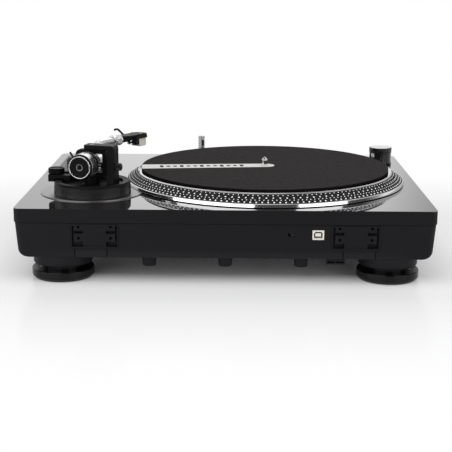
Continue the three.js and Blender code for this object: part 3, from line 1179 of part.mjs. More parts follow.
function counterweight() {
  const end = WEIGHT_START + WEIGHT_LENGTH;
  const bore = SLEEVE_RADIUS + FIT;
  const blind = STUB_RADIUS + FIT;
  const step = end - WEIGHT_REAR_LENGTH;
  const stubReach = STUB_LENGTH + WEIGHT_SLIDE_FORWARD + FIT;
  const edge = WEIGHT_BEVEL;
  const profile = [
    [bore, WEIGHT_START], [WEIGHT_RADIUS - edge, WEIGHT_START], [WEIGHT_RADIUS, WEIGHT_START + edge],
    [WEIGHT_RADIUS, step - edge], [WEIGHT_REAR_RADIUS, step], [WEIGHT_REAR_RADIUS, end - edge],
    [WEIGHT_REAR_RADIUS - edge, end], [0, end], [0, stubReach], [blind, stubReach],
    [blind, SLEEVE_END + FIT], [bore, SLEEVE_END + FIT], [bore, WEIGHT_START],
  ];
  return backward(turned(profile));
}

function headshell() {
  const half = HEADSHELL_WIDTH / 2;
  const back = -HEADSHELL_LENGTH;
  const shoulder = back + HEADSHELL_TAPER;
  const corner = HEADSHELL_NOSE - 3;
  const outline = outlineOf([
    [back + 4, -half * 0.55], [shoulder, -half], [corner, -half], [HEADSHELL_NOSE, 3 - half],
    [HEADSHELL_NOSE, half - 3], [corner, half], [shoulder, half], [back + 4, half * 0.55],
  ]);
  const plate = prism(outline, HEADSHELL_RISE, HEADSHELL_RISE + HEADSHELL_PLATE, 0.4);
  const neck = alongX(disc(TUBE_RADIUS, FIT - TUBE_END_SETBACK, back + HEADSHELL_TAPER / 2, SMALL_SIDES));
  const web = block(back + 2 * FIT, shoulder + 2, -TUBE_RADIUS, TUBE_RADIUS,
    1 - TUBE_RADIUS, HEADSHELL_RISE + 1);
  const slots = [-1, 1].map((side) =>
    roundedBlock(SCREW_SLOT_LENGTH, HEADSHELL_SLOT, HEADSHELL_SLOT / 2 - 0.01, 0, 4 * HEADSHELL_PLATE)
      .translate(-SCREW_SLOT_SETBACK, side * CARTRIDGE_SCREW_SPACING / 2, 0));
  return cut(join(plate, neck, web), ...slots);
}

const HOLDER_BACK = -0.75 * STYLUS_LENGTH;
const HOLDER_FRONT = 0.25 * STYLUS_LENGTH;

// Cartridge body: a cap under the plate, a rear block with four pins, room for the stylus holder.
function cartridge() {
  const half = CARTRIDGE_WIDTH / 2;
  const top = HEADSHELL_RISE - FIT;
  const cap = block(-CARTRIDGE_REAR, HOLDER_FRONT, -half, half, top - CARTRIDGE_CAP, top);
  const back = block(-CARTRIDGE_REAR, HOLDER_BACK - FIT, 1 - half, half - 1, top - CARTRIDGE_HEIGHT, top - 1);
  const pinZ = top - CARTRIDGE_HEIGHT * 0.64;
  const pins = [-1, 1].flatMap((y) => [-1, 1].map((z) =>
    alongX(disc(CARTRIDGE_PIN_RADIUS, -CARTRIDGE_REAR - CARTRIDGE_PIN, 1 - CARTRIDGE_REAR, 8))
      .translate(0, 3 * y, pinZ + 1.8 * z)));
  return join(cap, back, ...pins);
}

function stylus() {
  const half = STYLUS_WIDTH / 2;
  const top = HEADSHELL_RISE - FIT - CARTRIDGE_CAP - FIT;
  const bottom = -STYLUS_DROP + STYLUS_TIP;
  const outline = outlineOf([
    [HOLDER_BACK, top], [HOLDER_BACK, bottom + 2], [HOLDER_BACK + 3, bottom], [HOLDER_FRONT - 1.5, bottom],
    [HOLDER_FRONT, bottom + STYLUS_GROOVE], [HOLDER_FRONT, top],
  ]);
  const holder = sidePrism(outline, STYLUS_WIDTH, 0.4);
  const wide = STYLUS_GROOVE * 0.65;
  const groove = block(-STYLUS_GROOVE, STYLUS_LENGTH, -wide, wide, bottom - 1, bottom + STYLUS_GROOVE);
  const tip = disc(0.2, -STYLUS_DROP, bottom + 1, 8, 0.7);
  const cantilever = alongX(disc(0.5, -4, 0.6, 8)).translate(0, 0, bottom + 0.9);
  const damper = block(-3, -2, -half / 3, half / 3, bottom + FIT, bottom + 3);
  return join(cut(holder, groove), cantilever, tip, damper);
}

function fingerLift() {
  const root = HEADSHELL_WIDTH / 2 + FIT;
  const z = HEADSHELL_RISE + HEADSHELL_PLATE / 2;
  // Each point is a share of the reach outwards and of the rise upwards.
  const curve = new THREE.CatmullRomCurve3([[0, 0], [0.1, 0], [0.35, 0.45], [0.7, 1], [1, 0.8]].map(
    ([out, up]) => new THREE.Vector3(0, root + out * FINGER_REACH, z + up * FINGER_RISE)));
  const [a, b] = [FINGER_THICKNESS / 2, FINGER_WIDTH / 2];
  const edge = FINGER_EDGE;
  const section = outlineOf([
    [-a, edge - b], [edge - a, -b], [a - edge, -b], [a, edge - b],
    [a, b - edge], [a - edge, b], [edge - a, b], [-a, b - edge],
  ]);
  return sweep(curve, section, 12).translate(-FINGER_SETBACK, 0, 0);
}

function addTonearm(frame) {
  add(frame, 'gimbal_ring', gimbalRing(), GLOSS_BLACK);
  add(frame, 'pivot_screw_right', pivotScrew(1), STEEL);
  add(frame, 'pivot_screw_left', pivotScrew(-1), STEEL);
  const arm = groupAt(frame, 'lift_axis', 0, 0, ARM_HEIGHT);
  arm.rotation.y = degrees(REST_TILT);
  add(arm, 'arm_hub', armHub(), BLACK_METAL);
  add(arm, 'arm_tube', sweep(tubePath(1 + FIT), circleOutline(TUBE_RADIUS), 30), CHROME);
  add(arm, 'rear_stub', backward(disc(STUB_RADIUS, 1 + FIT, STUB_LENGTH, SMALL_SIDES)), STEEL);
  const sleeve = ringBar(SLEEVE_RADIUS, STUB_RADIUS + FIT, WEIGHT_FRONT + 1, SLEEVE_END, SMALL_SIDES);
  add(arm, 'weight_sleeve', backward(sleeve), STEEL);
  const dial = ringBar(WEIGHT_RADIUS, SLEEVE_RADIUS + FIT, WEIGHT_FRONT, WEIGHT_FRONT + WEIGHT_DIAL_WIDTH);
  add(arm, 'force_dial', backward(dial), SILVER);
  add(arm, 'counterweight', counterweight(), SILVER);
  const shell = groupAt(arm, 'shell_axis', ...STYLUS_POINT.toArray());
  shell.rotation.z = degrees(LAST_LEG_ANGLE);
  const collar = ringBar(COLLAR_RADIUS, TUBE_RADIUS + FIT, -HEADSHELL_LENGTH - COLLAR_LENGTH,
    -HEADSHELL_LENGTH, HIDDEN_SIDES);
  add(shell, 'locking_collar', alongX(collar), CHROME);
  add(shell, 'headshell', headshell(), BLACK_METAL);
  add(shell, 'finger_lift', fingerLift(), BLACK_METAL);
  add(shell, 'cartridge', cartridge(), SATIN_BLACK);
  add(shell, 'stylus', stylus(), IVORY);
}

// ---- Feet ---------------------------------------------------------------------------------

function foot() {
  const neckTop = FOOT_PAD_HEIGHT + FOOT_NECK_HEIGHT;
  const studTop = neckTop + FOOT_STUD_HEIGHT;
  const edge = FOOT_EDGE;
  return turned([
    [0, 0], [FOOT_RADIUS - edge, 0], [FOOT_RADIUS, edge], [FOOT_RADIUS, FOOT_PAD_HEIGHT - edge],
    [FOOT_RADIUS - edge, FOOT_PAD_HEIGHT], [FOOT_NECK_RADIUS + 2, FOOT_PAD_HEIGHT - 0.8],
    [FOOT_NECK_RADIUS, FOOT_PAD_HEIGHT], [FOOT_NECK_RADIUS, neckTop], [FOOT_STUD_RADIUS, neckTop],
    [FOOT_STUD_RADIUS, studTop], [0, studTop],
  ], FOOT_SIDES);
}

// ---- Assembly -----------------------------------------------------------------------------

const centred = (x, y, width, depth, z0, z1) =>
  block(x - width / 2, x + width / 2, y - depth / 2, y + depth / 2, z0, z1);

function addPlinth() {
  const deck = groupAt(player, 'deck', 0, 0, DECK);
  add(player, 'base_tub', baseTub(), SATIN_BLACK);
  add(player, 'top_cover', topCover(), GLOSS_BLACK);
  for (const [side, x] of Object.entries(SOCKET_CENTRES)) {
    add(player, `hinge_socket_${side}`, hingeSocket(x), SATIN_BLACK);
  }
  add(player, 'data_jack', dataJack(), IVORY);
  add(player, 'output_switch', outputSwitch(), IVORY);
  add(player, 'mains_inlet', mainsInlet(), SATIN_BLACK);
  add(player, 'signal_jacks', signalJacks(), STEEL);
  const { x, width, depth } = MAIN_BOARD;
  const boardZ = FLOOR + BOARD_STANDOFF + FIT;
  const board = centred(x, MAIN_BOARD_Y, width, depth, boardZ, boardZ + BOARD_THICKNESS);
  add(player, 'main_board', board, BOARD_GREEN);
  const transformer = centred(PLINTH_WIDTH / 4, -PLINTH_DEPTH / 4, TRANSFORMER_SIZE, TRANSFORMER_SIZE,
    FLOOR + FIT, FLOOR + TRANSFORMER_HEIGHT);
  add(player, 'transformer', transformer, COPPER);
  for (const [name, [bx, by, w, d]] of Object.entries(BUTTONS)) {
    add(deck, name, pressButton(w, d).translate(bx, by, 0), SILVER);
  }
  add(deck, 'control_board', controlBoard(), BOARD_GREEN);
  const pitch = groupAt(deck, 'pitch_axis', PITCH_X, PITCH_CENTRE_Y, 0);
  add(pitch, 'pitch_plate', pitchPlate(), SATIN_BLACK);
  add(pitch, 'pitch_fader', pitchFader(), STEEL);
  add(pitch, 'pitch_knob', pitchKnob(), BLACK_METAL);
}

addPlinth();
addPlatter();
addTower();
addStylusLight();
addTonearm(addArmBase());
for (const [name, corner] of Object.entries(FOOT_PLACES)) {
  const place = groupAt(player, `${name}_foot_axis`, ...footPlace(corner), 0);
  add(place, `foot_${name}`, foot(), RUBBER);
}

export default player;
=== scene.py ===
"""Looks of a direct-drive record player: gloss deck, strobe platter, S-shaped tonearm and four feet."""

import json
import math

import bmesh
import bpy
from bpy.props import FloatProperty, FloatVectorProperty, IntProperty, PointerProperty
from mathutils import Matrix, Vector


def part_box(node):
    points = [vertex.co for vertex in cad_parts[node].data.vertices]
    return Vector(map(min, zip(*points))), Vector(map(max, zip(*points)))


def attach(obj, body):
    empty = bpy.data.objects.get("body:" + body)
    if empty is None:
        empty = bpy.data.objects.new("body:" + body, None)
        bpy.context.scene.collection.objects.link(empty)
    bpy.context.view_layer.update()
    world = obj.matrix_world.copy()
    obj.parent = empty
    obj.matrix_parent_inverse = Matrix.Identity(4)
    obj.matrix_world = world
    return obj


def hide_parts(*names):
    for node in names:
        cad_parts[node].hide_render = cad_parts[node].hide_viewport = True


bl_info = {
    "name": "Record player",
    "version": (1, 0, 0),
    "blender": (4, 5, 0),
    "location": "3D View > Sidebar > Record player",
    "description": "Builds the deck, platter, tonearm and feet of a record player, one piece at a time",
    "category": "Object",
}

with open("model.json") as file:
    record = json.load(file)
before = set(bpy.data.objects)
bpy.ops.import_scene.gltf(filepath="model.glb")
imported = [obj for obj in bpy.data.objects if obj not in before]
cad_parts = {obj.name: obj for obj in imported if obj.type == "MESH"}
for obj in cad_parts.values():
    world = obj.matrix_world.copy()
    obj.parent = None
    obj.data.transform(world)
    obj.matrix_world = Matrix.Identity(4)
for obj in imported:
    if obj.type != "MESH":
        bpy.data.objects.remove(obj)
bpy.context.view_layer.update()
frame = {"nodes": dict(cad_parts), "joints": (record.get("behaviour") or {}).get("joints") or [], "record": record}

MM = 0.001
FIT = 0.3                       # clearance between neighbouring pieces, millimetres
REST_AZIMUTH = math.radians(-103)
REST_TILT = math.radians(1.1)
FIRST_LEG_TURN = 4.25           # degrees from the arm's first leg to the line from pivot to stylus
OFFSET_TURN = 22.6              # degrees from that line to the headshell
HEADSHELL_ANGLE = math.radians(FIRST_LEG_TURN - OFFSET_TURN)


# ---- Where the pieces are ------------------------------------------------------------------


def extent(node):
    """Lowest and highest corners of a CAD node at rest, in millimetres."""
    low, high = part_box(node)
    return low / MM, high / MM


def centre(node):
    low, high = extent(node)
    return (low + high) / 2


def round_place(node):
    """Middle and radius of a round node, and its lowest and highest height above the deck."""
    low, high = extent(node)
    return (low + high) / 2, (high.x - low.x) / 2, low.z - DECK, high.z - DECK


def joint_place(name):
    return Vector(next(j["pos_m"] for j in frame["joints"] if j["name"] == name))


DECK = extent("top_cover")[1].z
SPINDLE = joint_place("platter_spin") / MM
PIVOT = joint_place("arm_swing") / MM
LIFT = joint_place("arm_lift") / MM


def placed(x, y, z, turn=0.0):
    """Axes at a point given in millimetres, turned about the vertical."""
    return Matrix.Translation(Vector((x, y, z)) * MM) @ Matrix.Rotation(turn, 4, "Z")


FLOOR_AXES = Matrix.Identity(4)
SPINDLE_AXES = placed(SPINDLE.x, SPINDLE.y, DECK)
PIVOT_AXES = placed(PIVOT.x, PIVOT.y, DECK)
ARM_AXES = placed(PIVOT.x, PIVOT.y, DECK, REST_AZIMUTH)
TUBE_AXES = placed(LIFT.x, LIFT.y, LIFT.z, REST_AZIMUTH) @ Matrix.Rotation(REST_TILT, 4, "Y")


# ---- Sizes and colours ---------------------------------------------------------------------


def length(label, words, millimetres):
    return FloatProperty(name=label, description=words, default=millimetres * MM, min=0, unit="LENGTH",
                         precision=5)


def number(label, words, amount):
    return IntProperty(name=label, description=words, default=amount, min=8)


def colour(label, words, value):
    return FloatVectorProperty(name=label, description=words, default=value, size=3, min=0, max=1,
                               subtype="COLOR")


class PlinthSizes(bpy.types.PropertyGroup):
    corner: length("Corner radius", "Radius of the plinth's four corners seen from above", 6)
    edge: length("Edge rounding", "Rounding along the cover's rims", 0.8)
    cover_wall: length("Cover wall", "Thickness of the cover's skirt", 3.2)
    cover_top: length("Cover thickness", "Thickness of the deck", 4)
    draft: length("Casing draft", "How far the casing's sides lean in at the bottom", 2.4)
    lower_radius: length("Lower edge radius", "Rounding of the casing's long lower edges", 9)
    casing_wall: length("Casing wall", "Thickness of the casing", 3)
    foot_neck: length("Foot neck radius", "Radius of the neck between a foot's pad and its cup", 24)


class PlatterSizes(bpy.types.PropertyGroup):
    face: length("Face radius", "Radius of the flat face that carries the mat", 150.5)
    rim_height: length("Rim height", "Height of the polished band round the platter", 3.3)
    shoulder: length("Shoulder", "Width of the polished line along the top of the slope", 1.8)
    dot_rise: length("Dot rise", "How far a strobe dot stands up", 0.3)
    inner_dots: number("Inner dots", "Strobe dots in the innermost row", 180)
    second_dots: number("Second dots", "Strobe dots in the second row", 133)
    third_dots: number("Third dots", "Strobe dots in the third row", 216)
    outer_dots: number("Outer dots", "Strobe dots in the outermost row", 160)
    stripe: length("Index stripe", "Width of the printed stripe on the mat", 22)


class ArmSizes(bpy.types.PropertyGroup):
    tube: length("Tube radius", "Radius of the tonearm tube", 4.6)
    bend: length("Bend radius", "Radius of the tube's two bends", 32)
    first_leg: length("First leg", "Pivot to the tube's first corner", 75)
    last_leg: length("Last leg", "Second corner to the stylus", 97)
    ribs: number("Ring ribs", "Grip ribs round the height ring", 120)
    rib_depth: length("Rib depth", "Depth of the height ring's ribs", 1.1)


class FinishColours(bpy.types.PropertyGroup):
    lacquer: colour("Deck lacquer", "Colour of the gloss deck", (0.014, 0.012, 0.013))
    casing: colour("Casing", "Colour of the satin casing", (0.0046, 0.0046, 0.0057))
    felt: colour("Felt", "Colour of the slipmat", (0.0218, 0.0182, 0.0188))
    print_white: colour("Stripe", "Colour of the printed stripe", (0.78, 0.76, 0.74))
    silver: colour("Silver", "Colour of the bare metal", (0.80, 0.80, 0.81))
    ivory: colour("Ivory", "Colour of the pale plastic", (0.66, 0.64, 0.58))


SETTINGS = {"plinth": PlinthSizes, "platter": PlatterSizes, "arm": ArmSizes, "colours": FinishColours}


def settings(kind):
    return getattr(bpy.context.scene, "record_player_" + kind)


# ---- Shader arithmetic ---------------------------------------------------------------------


class Value:
    """A number that varies over a surface; expressions on it add Math nodes."""

    def __init__(self, finish, socket):
        self.finish = finish
        self.socket = socket

    def maths(self, operation, *others, clamp=False):
        values = dict(enumerate((self, *others)))
        return self.finish.node("ShaderNodeMath", {"operation": operation, "use_clamp": clamp}, values)

    def __add__(self, other):
        return self.maths("ADD", other)

    __radd__ = __add__

    def __sub__(self, other):
        return self.maths("SUBTRACT", other)

    def __rsub__(self, other):
        return self.finish.node("ShaderNodeMath", {"operation": "SUBTRACT"}, {0: other, 1: self})

    def __mul__(self, other):
        return self.maths("MULTIPLY", other)

    __rmul__ = __mul__

    def __truediv__(self, other):
        return self.maths("DIVIDE", other)

    def above(self, limit):
        return self.maths("GREATER_THAN", limit)

    def below(self, limit):
        return self.maths("LESS_THAN", limit)

    def size(self):
        return self.maths("ABSOLUTE")

    def root(self):
        return self.maths("SQRT")

    def clipped(self):
        return self.maths("ADD", 0.0, clamp=True)


class NodeBench:
    """A node tree and the one method that adds a node to it."""

    def __init__(self, tree):
        self.tree = tree

    def node(self, kind, choices=None, sockets=None, output=0):
        node = self.tree.nodes.new(kind)
        for key, value in (choices or {}).items():
            setattr(node, key, value)
        for key, value in (sockets or {}).items():
            self.feed(node.inputs[key], value)
        return Value(self, node.outputs[output])

    def rays(self):
        """Whether the camera sees a point directly, and whether a mirror or a lens does."""
        seen, glossy, through = (self.node("ShaderNodeLightPath", output=f"Is {kind} Ray")
                                 for kind in ("Camera", "Glossy", "Transmission"))
        return seen, (glossy + through).clipped()

    def feed(self, socket, value):
        if isinstance(value, Value):
            self.tree.links.new(value.socket, socket)
        elif socket.type == "RGBA" and len(value) == 3:
            socket.default_value = (*value, 1)
        else:
            socket.default_value = value


class Finish(NodeBench):
    """One procedural material: constants on the shader, and what varies over the surface."""

    def __init__(self, name, **constants):
        self.material = bpy.data.materials.new(name)
        self.material.use_nodes = True
        super().__init__(self.material.node_tree)
        self.shader = self.tree.nodes["Principled BSDF"]
        for key, value in constants.items():
            self.set(key.replace("_", " ").title().replace("Ior", "IOR"), value)
        self.object_place = self.node("ShaderNodeTexCoord", output="Object")

    def set(self, socket, value):
        self.feed(self.shader.inputs[socket], value)

    def place(self, size, stretch=(1, 1, 1)):
        """Object coordinates counted in steps of size millimetres, longer along a stretched axis."""
        steps = [1 / (MM * size * s) for s in stretch]
        return self.node("ShaderNodeVectorMath", {"operation": "MULTIPLY"}, {0: self.object_place, 1: steps})

    def noise(self, size, detail, stretch=(1, 1, 1), vector=None):
        spot = vector or self.place(size, stretch)
        return self.node("ShaderNodeTexNoise", None, {"Vector": spot, "Scale": 1.0, "Detail": detail})

    def axes(self):
        """The three object coordinates in millimetres."""
        spot = self.place(1)
        return [self.node("ShaderNodeSeparateXYZ", None, {0: spot}, output=i) for i in range(3)]

    def lathe_marks(self, size, axis="Z"):
        """Fine rings left by turning about an axis."""
        x, y, z = self.axes()
        along, across = {"Z": (z, (x, y)), "X": (x, (y, z)), "Y": (y, (x, z))}[axis]
        reach = (across[0] * across[0] + across[1] * across[1]).root()
        spot = self.node("ShaderNodeCombineXYZ", None, {0: reach / size, 1: along / size, 2: 0.0})
        return self.noise(size, 3.0, vector=spot)

    def blend(self, mask, first, second):
        return self.node("ShaderNodeMix", {"data_type": "RGBA"}, {0: mask, 6: first, 7: second}, output=2)

    def relief(self, height, depth):
        """Bump of the given depth in millimetres."""
        self.set("Normal", self.node("ShaderNodeBump", None, {"Height": height, "Distance": depth * MM}))

    def edges(self):
        """1 on convex edges, 0 on flats."""
        point = self.node("ShaderNodeNewGeometry", output="Pointiness")
        return ((point - 0.52) * 9).clipped()


# ---- Finishes ------------------------------------------------------------------------------


def shade(value, by):
    return tuple(min(1.0, part * by) for part in value)


def clouded(name, size, dark, light, roughness, spread, depth, detail=3, grain=None, **constants):
    """A finish whose colour and roughness follow one soft noise, in relief too unless a grain is given."""
    f = Finish(name, **constants)
    cloud = f.noise(size, detail)
    f.set("Base Color", f.blend(cloud, dark, light))
    f.set("Roughness", roughness + cloud * spread)
    f.relief(f.noise(grain, 2) if grain else cloud, depth)
    return f


def deck_lacquer(tints):
    f = Finish("deck_lacquer", coat_weight=1.0, coat_ior=1.85, coat_roughness=0.012, specular_ior_level=0.3)
    haze = f.noise(70, 3)
    f.set("Base Color", f.blend(haze, shade(tints.lacquer, 0.8), shade(tints.lacquer, 1.25)))
    f.set("Roughness", 0.035 + haze * 0.04 + f.noise(2.5, 2) * 0.015)
    f.relief(f.noise(5, 2), 0.0012)
    return f


def satin_casing(tints):
    f = Finish("satin_casing", specular_ior_level=0.16)
    cloud = f.noise(60, 3)
    body = f.blend(cloud, shade(tints.casing, 0.85), shade(tints.casing, 1.2))
    # Convex edges take up to four times the casing colour: a painted highlight along the rims.
    f.set("Base Color", f.blend(f.edges() * 0.5, body, shade(tints.casing, 4)))
    f.set("Roughness", 0.42 + f.noise(3, 3) * 0.16)
    f.relief(f.noise(0.45, 3), 0.02)
    return f


def turned_metal(name, tint, roughness, marks, depth, metallic=1.0, axis="Z", **constants):
    f = Finish(name, **constants)
    rings = f.lathe_marks(marks, axis)
    cloud = f.noise(9, 3)
    f.set("Base Color", f.blend(cloud, shade(tint, 0.93), shade(tint, 1.04)))
    f.set("Metallic", metallic)
    f.set("Roughness", roughness * 0.75 + (rings * 0.6 + cloud * 0.4) * roughness * 0.5)
    f.relief(rings, depth)
    return f


def black_metal(tints):
    return turned_metal("black_metal", (0.008, 0.008, 0.009), 0.3, 0.4, 0.004, 0.2, specular_ior_level=0.4)


def matte_black(tints):
    f = Finish("matte_black_metal", specular_ior_level=0.1)
    grain = f.noise(0.35, 3)
    f.set("Base Color", f.blend(f.noise(20, 3), (0.002, 0.002, 0.0023), (0.0042, 0.0042, 0.0046)))
    f.set("Roughness", 0.36 + grain * 0.12)
    f.relief(grain, 0.012)
    return f


def ring_black(tints):
    return turned_metal("ring_black", (0.008, 0.008, 0.009), 0.26, 0.4, 0.004, 0.2, specular_ior_level=0.55)


def gloss_metal(tints):
    return clouded("gloss_black_metal", 12, (0.004, 0.004, 0.0045), (0.007, 0.007, 0.008), 0.08, 0.08, 0.0006,
                   grain=1.6, coat_weight=0.5, coat_roughness=0.03, coat_ior=1.45, specular_ior_level=0.15)


def escutcheon_satin(tints):
    f = Finish("escutcheon_satin", coat_weight=0.5, coat_roughness=0.25, coat_ior=1.7)
    rings = f.lathe_marks(0.5)
    f.set("Base Color", f.blend(rings, (0.14, 0.13, 0.13), (0.20, 0.19, 0.19)))
    f.set("Metallic", 0.75)
    f.set("Roughness", 0.26 + rings * 0.12)
    f.relief(rings, 0.002)
    return f


def chrome(tints):
    return clouded("chrome", 6, (0.80, 0.80, 0.81), (0.88, 0.88, 0.89), 0.05, 0.07, 0.0015, grain=2.2,
                   metallic=1.0)


def polished_rim(tints):
    return turned_metal("polished_rim", (0.88, 0.88, 0.89), 0.09, 0.35, 0.0008)


def polished_tube(tints):
    return turned_metal("polished_tube", tints.silver, 0.17, 0.5, 0.0015, axis="X")


def weight_silver(tints):
    return turned_metal("weight_silver", tints.silver, 0.24, 0.3, 0.004, axis="X")


def cap_silver(tints):
    return turned_metal("cap_silver", shade(tints.silver, 0.85), 0.32, 0.3, 0.005)


def weight_black(tints):
    return turned_metal("weight_black", (0.003, 0.003, 0.0035), 0.3, 0.4, 0.005, 0.05, axis="X",
                        specular_ior_level=0.1)


def pillar_grey(tints):
    return turned_metal("pillar_grey", (0.16, 0.16, 0.165), 0.35, 0.5, 0.004, 0.7)


def steel(tints):
    return turned_metal("steel", (0.48, 0.49, 0.50), 0.32, 0.4, 0.005)


def copper(tints):
    return turned_metal("copper", (0.62, 0.28, 0.13), 0.35, 0.6, 0.02)


def strobe_black(tints):
    return clouded("strobe_black", 1.2, (0.006, 0.006, 0.007), (0.015, 0.015, 0.016), 0.42, 0.2, 0.01,
                   specular_ior_level=0.12)


def strobe_white(tints):
    return clouded("strobe_white", 0.8, (0.84, 0.84, 0.85), (0.95, 0.95, 0.95), 0.3, 0.15, 0.008, detail=2,
                   metallic=0.25)


def slipmat_felt(tints):
    """Felt with a printed index stripe from the rim to just past the spindle."""
    f = Finish("slipmat_felt", sheen_weight=0.02, sheen_roughness=0.5, specular_ior_level=0.04)
    x, y, _ = f.axes()
    turn, widening = math.radians(5.7), 0.018
    along = x * math.cos(turn) + y * math.sin(turn)
    across = y * math.cos(turn) - x * math.sin(turn)
    past = (along * -1.0 - 1).maths("MAXIMUM", 0.0)
    reach = (past * past + across * across).root()
    width = settings("platter").stripe / MM / 2 + along * widening
    stripe = ((width - reach) * 2 + 0.5).clipped()
    first_bar, last_bar, pitch = 24, 128, 8.0
    beat = (along / pitch).maths("FRACT")
    bar = beat.above(0.22) * beat.below(0.74) * along.above(first_bar) * along.below(last_bar)
    tall = 3.6 + (along / (3 * pitch)).maths("FRACT").below(0.34) * 2.6
    ticks = bar * (tall - across.size()).above(0.0)
    fibre = f.noise(0.5, 4, (3, 1, 1)) * 0.5 + f.noise(0.6, 4, (1, 3, 1)) * 0.5
    cloud = f.noise(18, 3)
    nap = f.noise(2.4, 3, (2.5, 1, 1))
    tone = ((fibre * 0.3 + cloud * 0.1 + nap * 0.6 - 0.5) * 2.2 + 0.5).clipped()
    wool = f.blend(tone, shade(tints.felt, 0.35), shade(tints.felt, 1.75))
    ink = f.blend(fibre, shade(tints.print_white, 0.82), tints.print_white)
    printed = f.blend(ticks, ink, (0.03, 0.03, 0.032))
    f.set("Base Color", f.blend(stripe, wool, printed))
    f.set("Roughness", 0.97 - stripe * 0.3 - fibre * 0.05)
    f.relief(fibre + cloud * 0.4, 0.16)
    return f


def painted_shade_felt_side(tints):
    # The slipmat's side is painted 0.08 to 0.3 of the felt colour: painted shade on the same felt.
    return clouded("slipmat_side_painted_shade", 0.5, shade(tints.felt, 0.08), shade(tints.felt, 0.3), 0.85, 0.1, 0.1,
                   detail=4, specular_ior_level=0.05)


def rubber(tints):
    return clouded("foot_rubber", 0.9, (0.012, 0.012, 0.013), (0.024, 0.024, 0.025), 0.7, 0.15, 0.03)


def foot_gloss(tints):
    f = Finish("foot_gloss", specular_ior_level=0.2)
    rings = f.lathe_marks(0.6)
    cloud = f.noise(14, 3)
    f.set("Base Color", f.blend(cloud, (0.002, 0.002, 0.0025), (0.0045, 0.0045, 0.005)))
    f.set("Roughness", 0.12 + cloud * 0.06 + rings * 0.04)
    f.relief(rings, 0.003)
    return f


def ivory(tints):
    return clouded("pale_plastic", 4, shade(tints.ivory, 0.92), shade(tints.ivory, 1.05), 0.36, 0.14, 0.008,
                   grain=0.5)


def clear_lens(tints):
    return clouded("clear_lens", 1.5, (0.82, 0.84, 0.85), (0.92, 0.93, 0.94), 0.06, 0.08, 0.004, detail=2,
                   transmission_weight=0.45, ior=1.49)


def circuit_board(tints):
    """Green solder mask over a lattice of copper tracks."""
    f = Finish("circuit_board")
    tracks = f.node("ShaderNodeTexVoronoi", {"distance": "MANHATTAN"}, {"Vector": f.place(5), "Scale": 1.0})
    line = (tracks - 0.45).size().below(0.06)
    f.set("Base Color", f.blend(line, (0.012, 0.09, 0.035), (0.05, 0.22, 0.09)))
    f.set("Roughness", 0.38 + f.noise(2, 2) * 0.15)
    f.relief(line + f.noise(0.8, 2) * 0.3, 0.03)
    return f


made = {}


def finish_of(maker):
    if maker not in made:
        made[maker] = maker(settings("colours")).material
    return made[maker]


# ---- Mesh tools, all in millimetres --------------------------------------------------------


def softened(points, radius, closed=False, steps=3):
    """The same outline with each corner rounded by up to radius."""
    rounded = []
    count = len(points)
    for i, point in enumerate(points):
        if not closed and i in (0, count - 1):
            rounded.append(point)
            continue
        here = Vector(point[:2])
        back = Vector(points[i - 1][:2]) - here
        ahead = Vector(points[(i + 1) % count][:2]) - here
        reach = min(radius, back.length * 0.45, ahead.length * 0.45)
        start, end = here + back.normalized() * reach, here + ahead.normalized() * reach
        for k in range(steps + 1):
            t = k / steps
            spot = start * (1 - t) ** 2 + here * (2 * t * (1 - t)) + end * t * t
            rounded.append((spot.x, spot.y, *point[2:]))
    return rounded


def turned(profile, sides=96, closed=False, soften=0.0, ribs=0, depth=0.0):
    """Profile of (radius, height) pairs turned about the vertical; a third entry of 1 takes ribs."""
    if soften:
        profile = softened(profile, soften, closed)
    form = bmesh.new()
    angles = [2 * math.pi * i / sides for i in range(sides)]
    rows = []
    for radius, height, *ribbed in profile:
        if radius < 1e-6:
            rows.append([form.verts.new((0, 0, height))])
            continue
        share = ribbed[0] if ribbed else 0
        reach = [radius - share * depth * (0.5 - 0.5 * math.cos(ribs * a)) for a in angles]
        rows.append([form.verts.new((r * math.cos(a), r * math.sin(a), height))
                     for r, a in zip(reach, angles)])
    for low, high in zip(rows, rows[1:] + rows[:1] if closed else rows[1:]):
        for i in range(sides):
            j = (i + 1) % sides
            corners = [low[i % len(low)], low[j % len(low)], high[j % len(high)], high[i % len(high)]]
            corners = list(dict.fromkeys(corners))
            if len(corners) > 2:
                form.faces.new(corners)
    return form


def bevelled(form, edges, width, steps):
    bmesh.ops.bevel(form, geom=edges, offset=width, segments=steps, profile=0.5, affect="EDGES",
                    clamp_overlap=True)


def prism(outline, z0, z1, edge=0.0, steps=2):
    """Outline raised between two heights, with both rims rounded."""
    form = bmesh.new()
    low = [form.verts.new((x, y, z0)) for x, y in outline]
    high = [form.verts.new((x, y, z1)) for x, y in outline]
    form.faces.new(reversed(low))
    form.faces.new(high)
    count = len(outline)
    for i in range(count):
        j = (i + 1) % count
        form.faces.new((low[i], low[j], high[j], high[i]))
    if edge:
        rims = [e for e in form.edges if abs(e.verts[0].co.z - e.verts[1].co.z) < 1e-6]
        bevelled(form, rims, edge, steps)
    return form


def rounded_rectangle(width, depth, radius, steps=6):
    points = []
    for cx, cy, first in ((1, 1, 0), (-1, 1, 90), (-1, -1, 180), (1, -1, 270)):
        for k in range(steps + 1):
            angle = math.radians(first + 90 * k / steps)
            points.append((cx * (width / 2 - radius) + radius * math.cos(angle),
                           cy * (depth / 2 - radius) + radius * math.sin(angle)))
    return points


def arc(radius, start, end, steps):
    """Points on a circle between two bearings in degrees."""
    bearings = [math.radians(start + (end - start) * k / steps) for k in range(steps + 1)]
    return [(radius * math.cos(b), radius * math.sin(b)) for b in bearings]


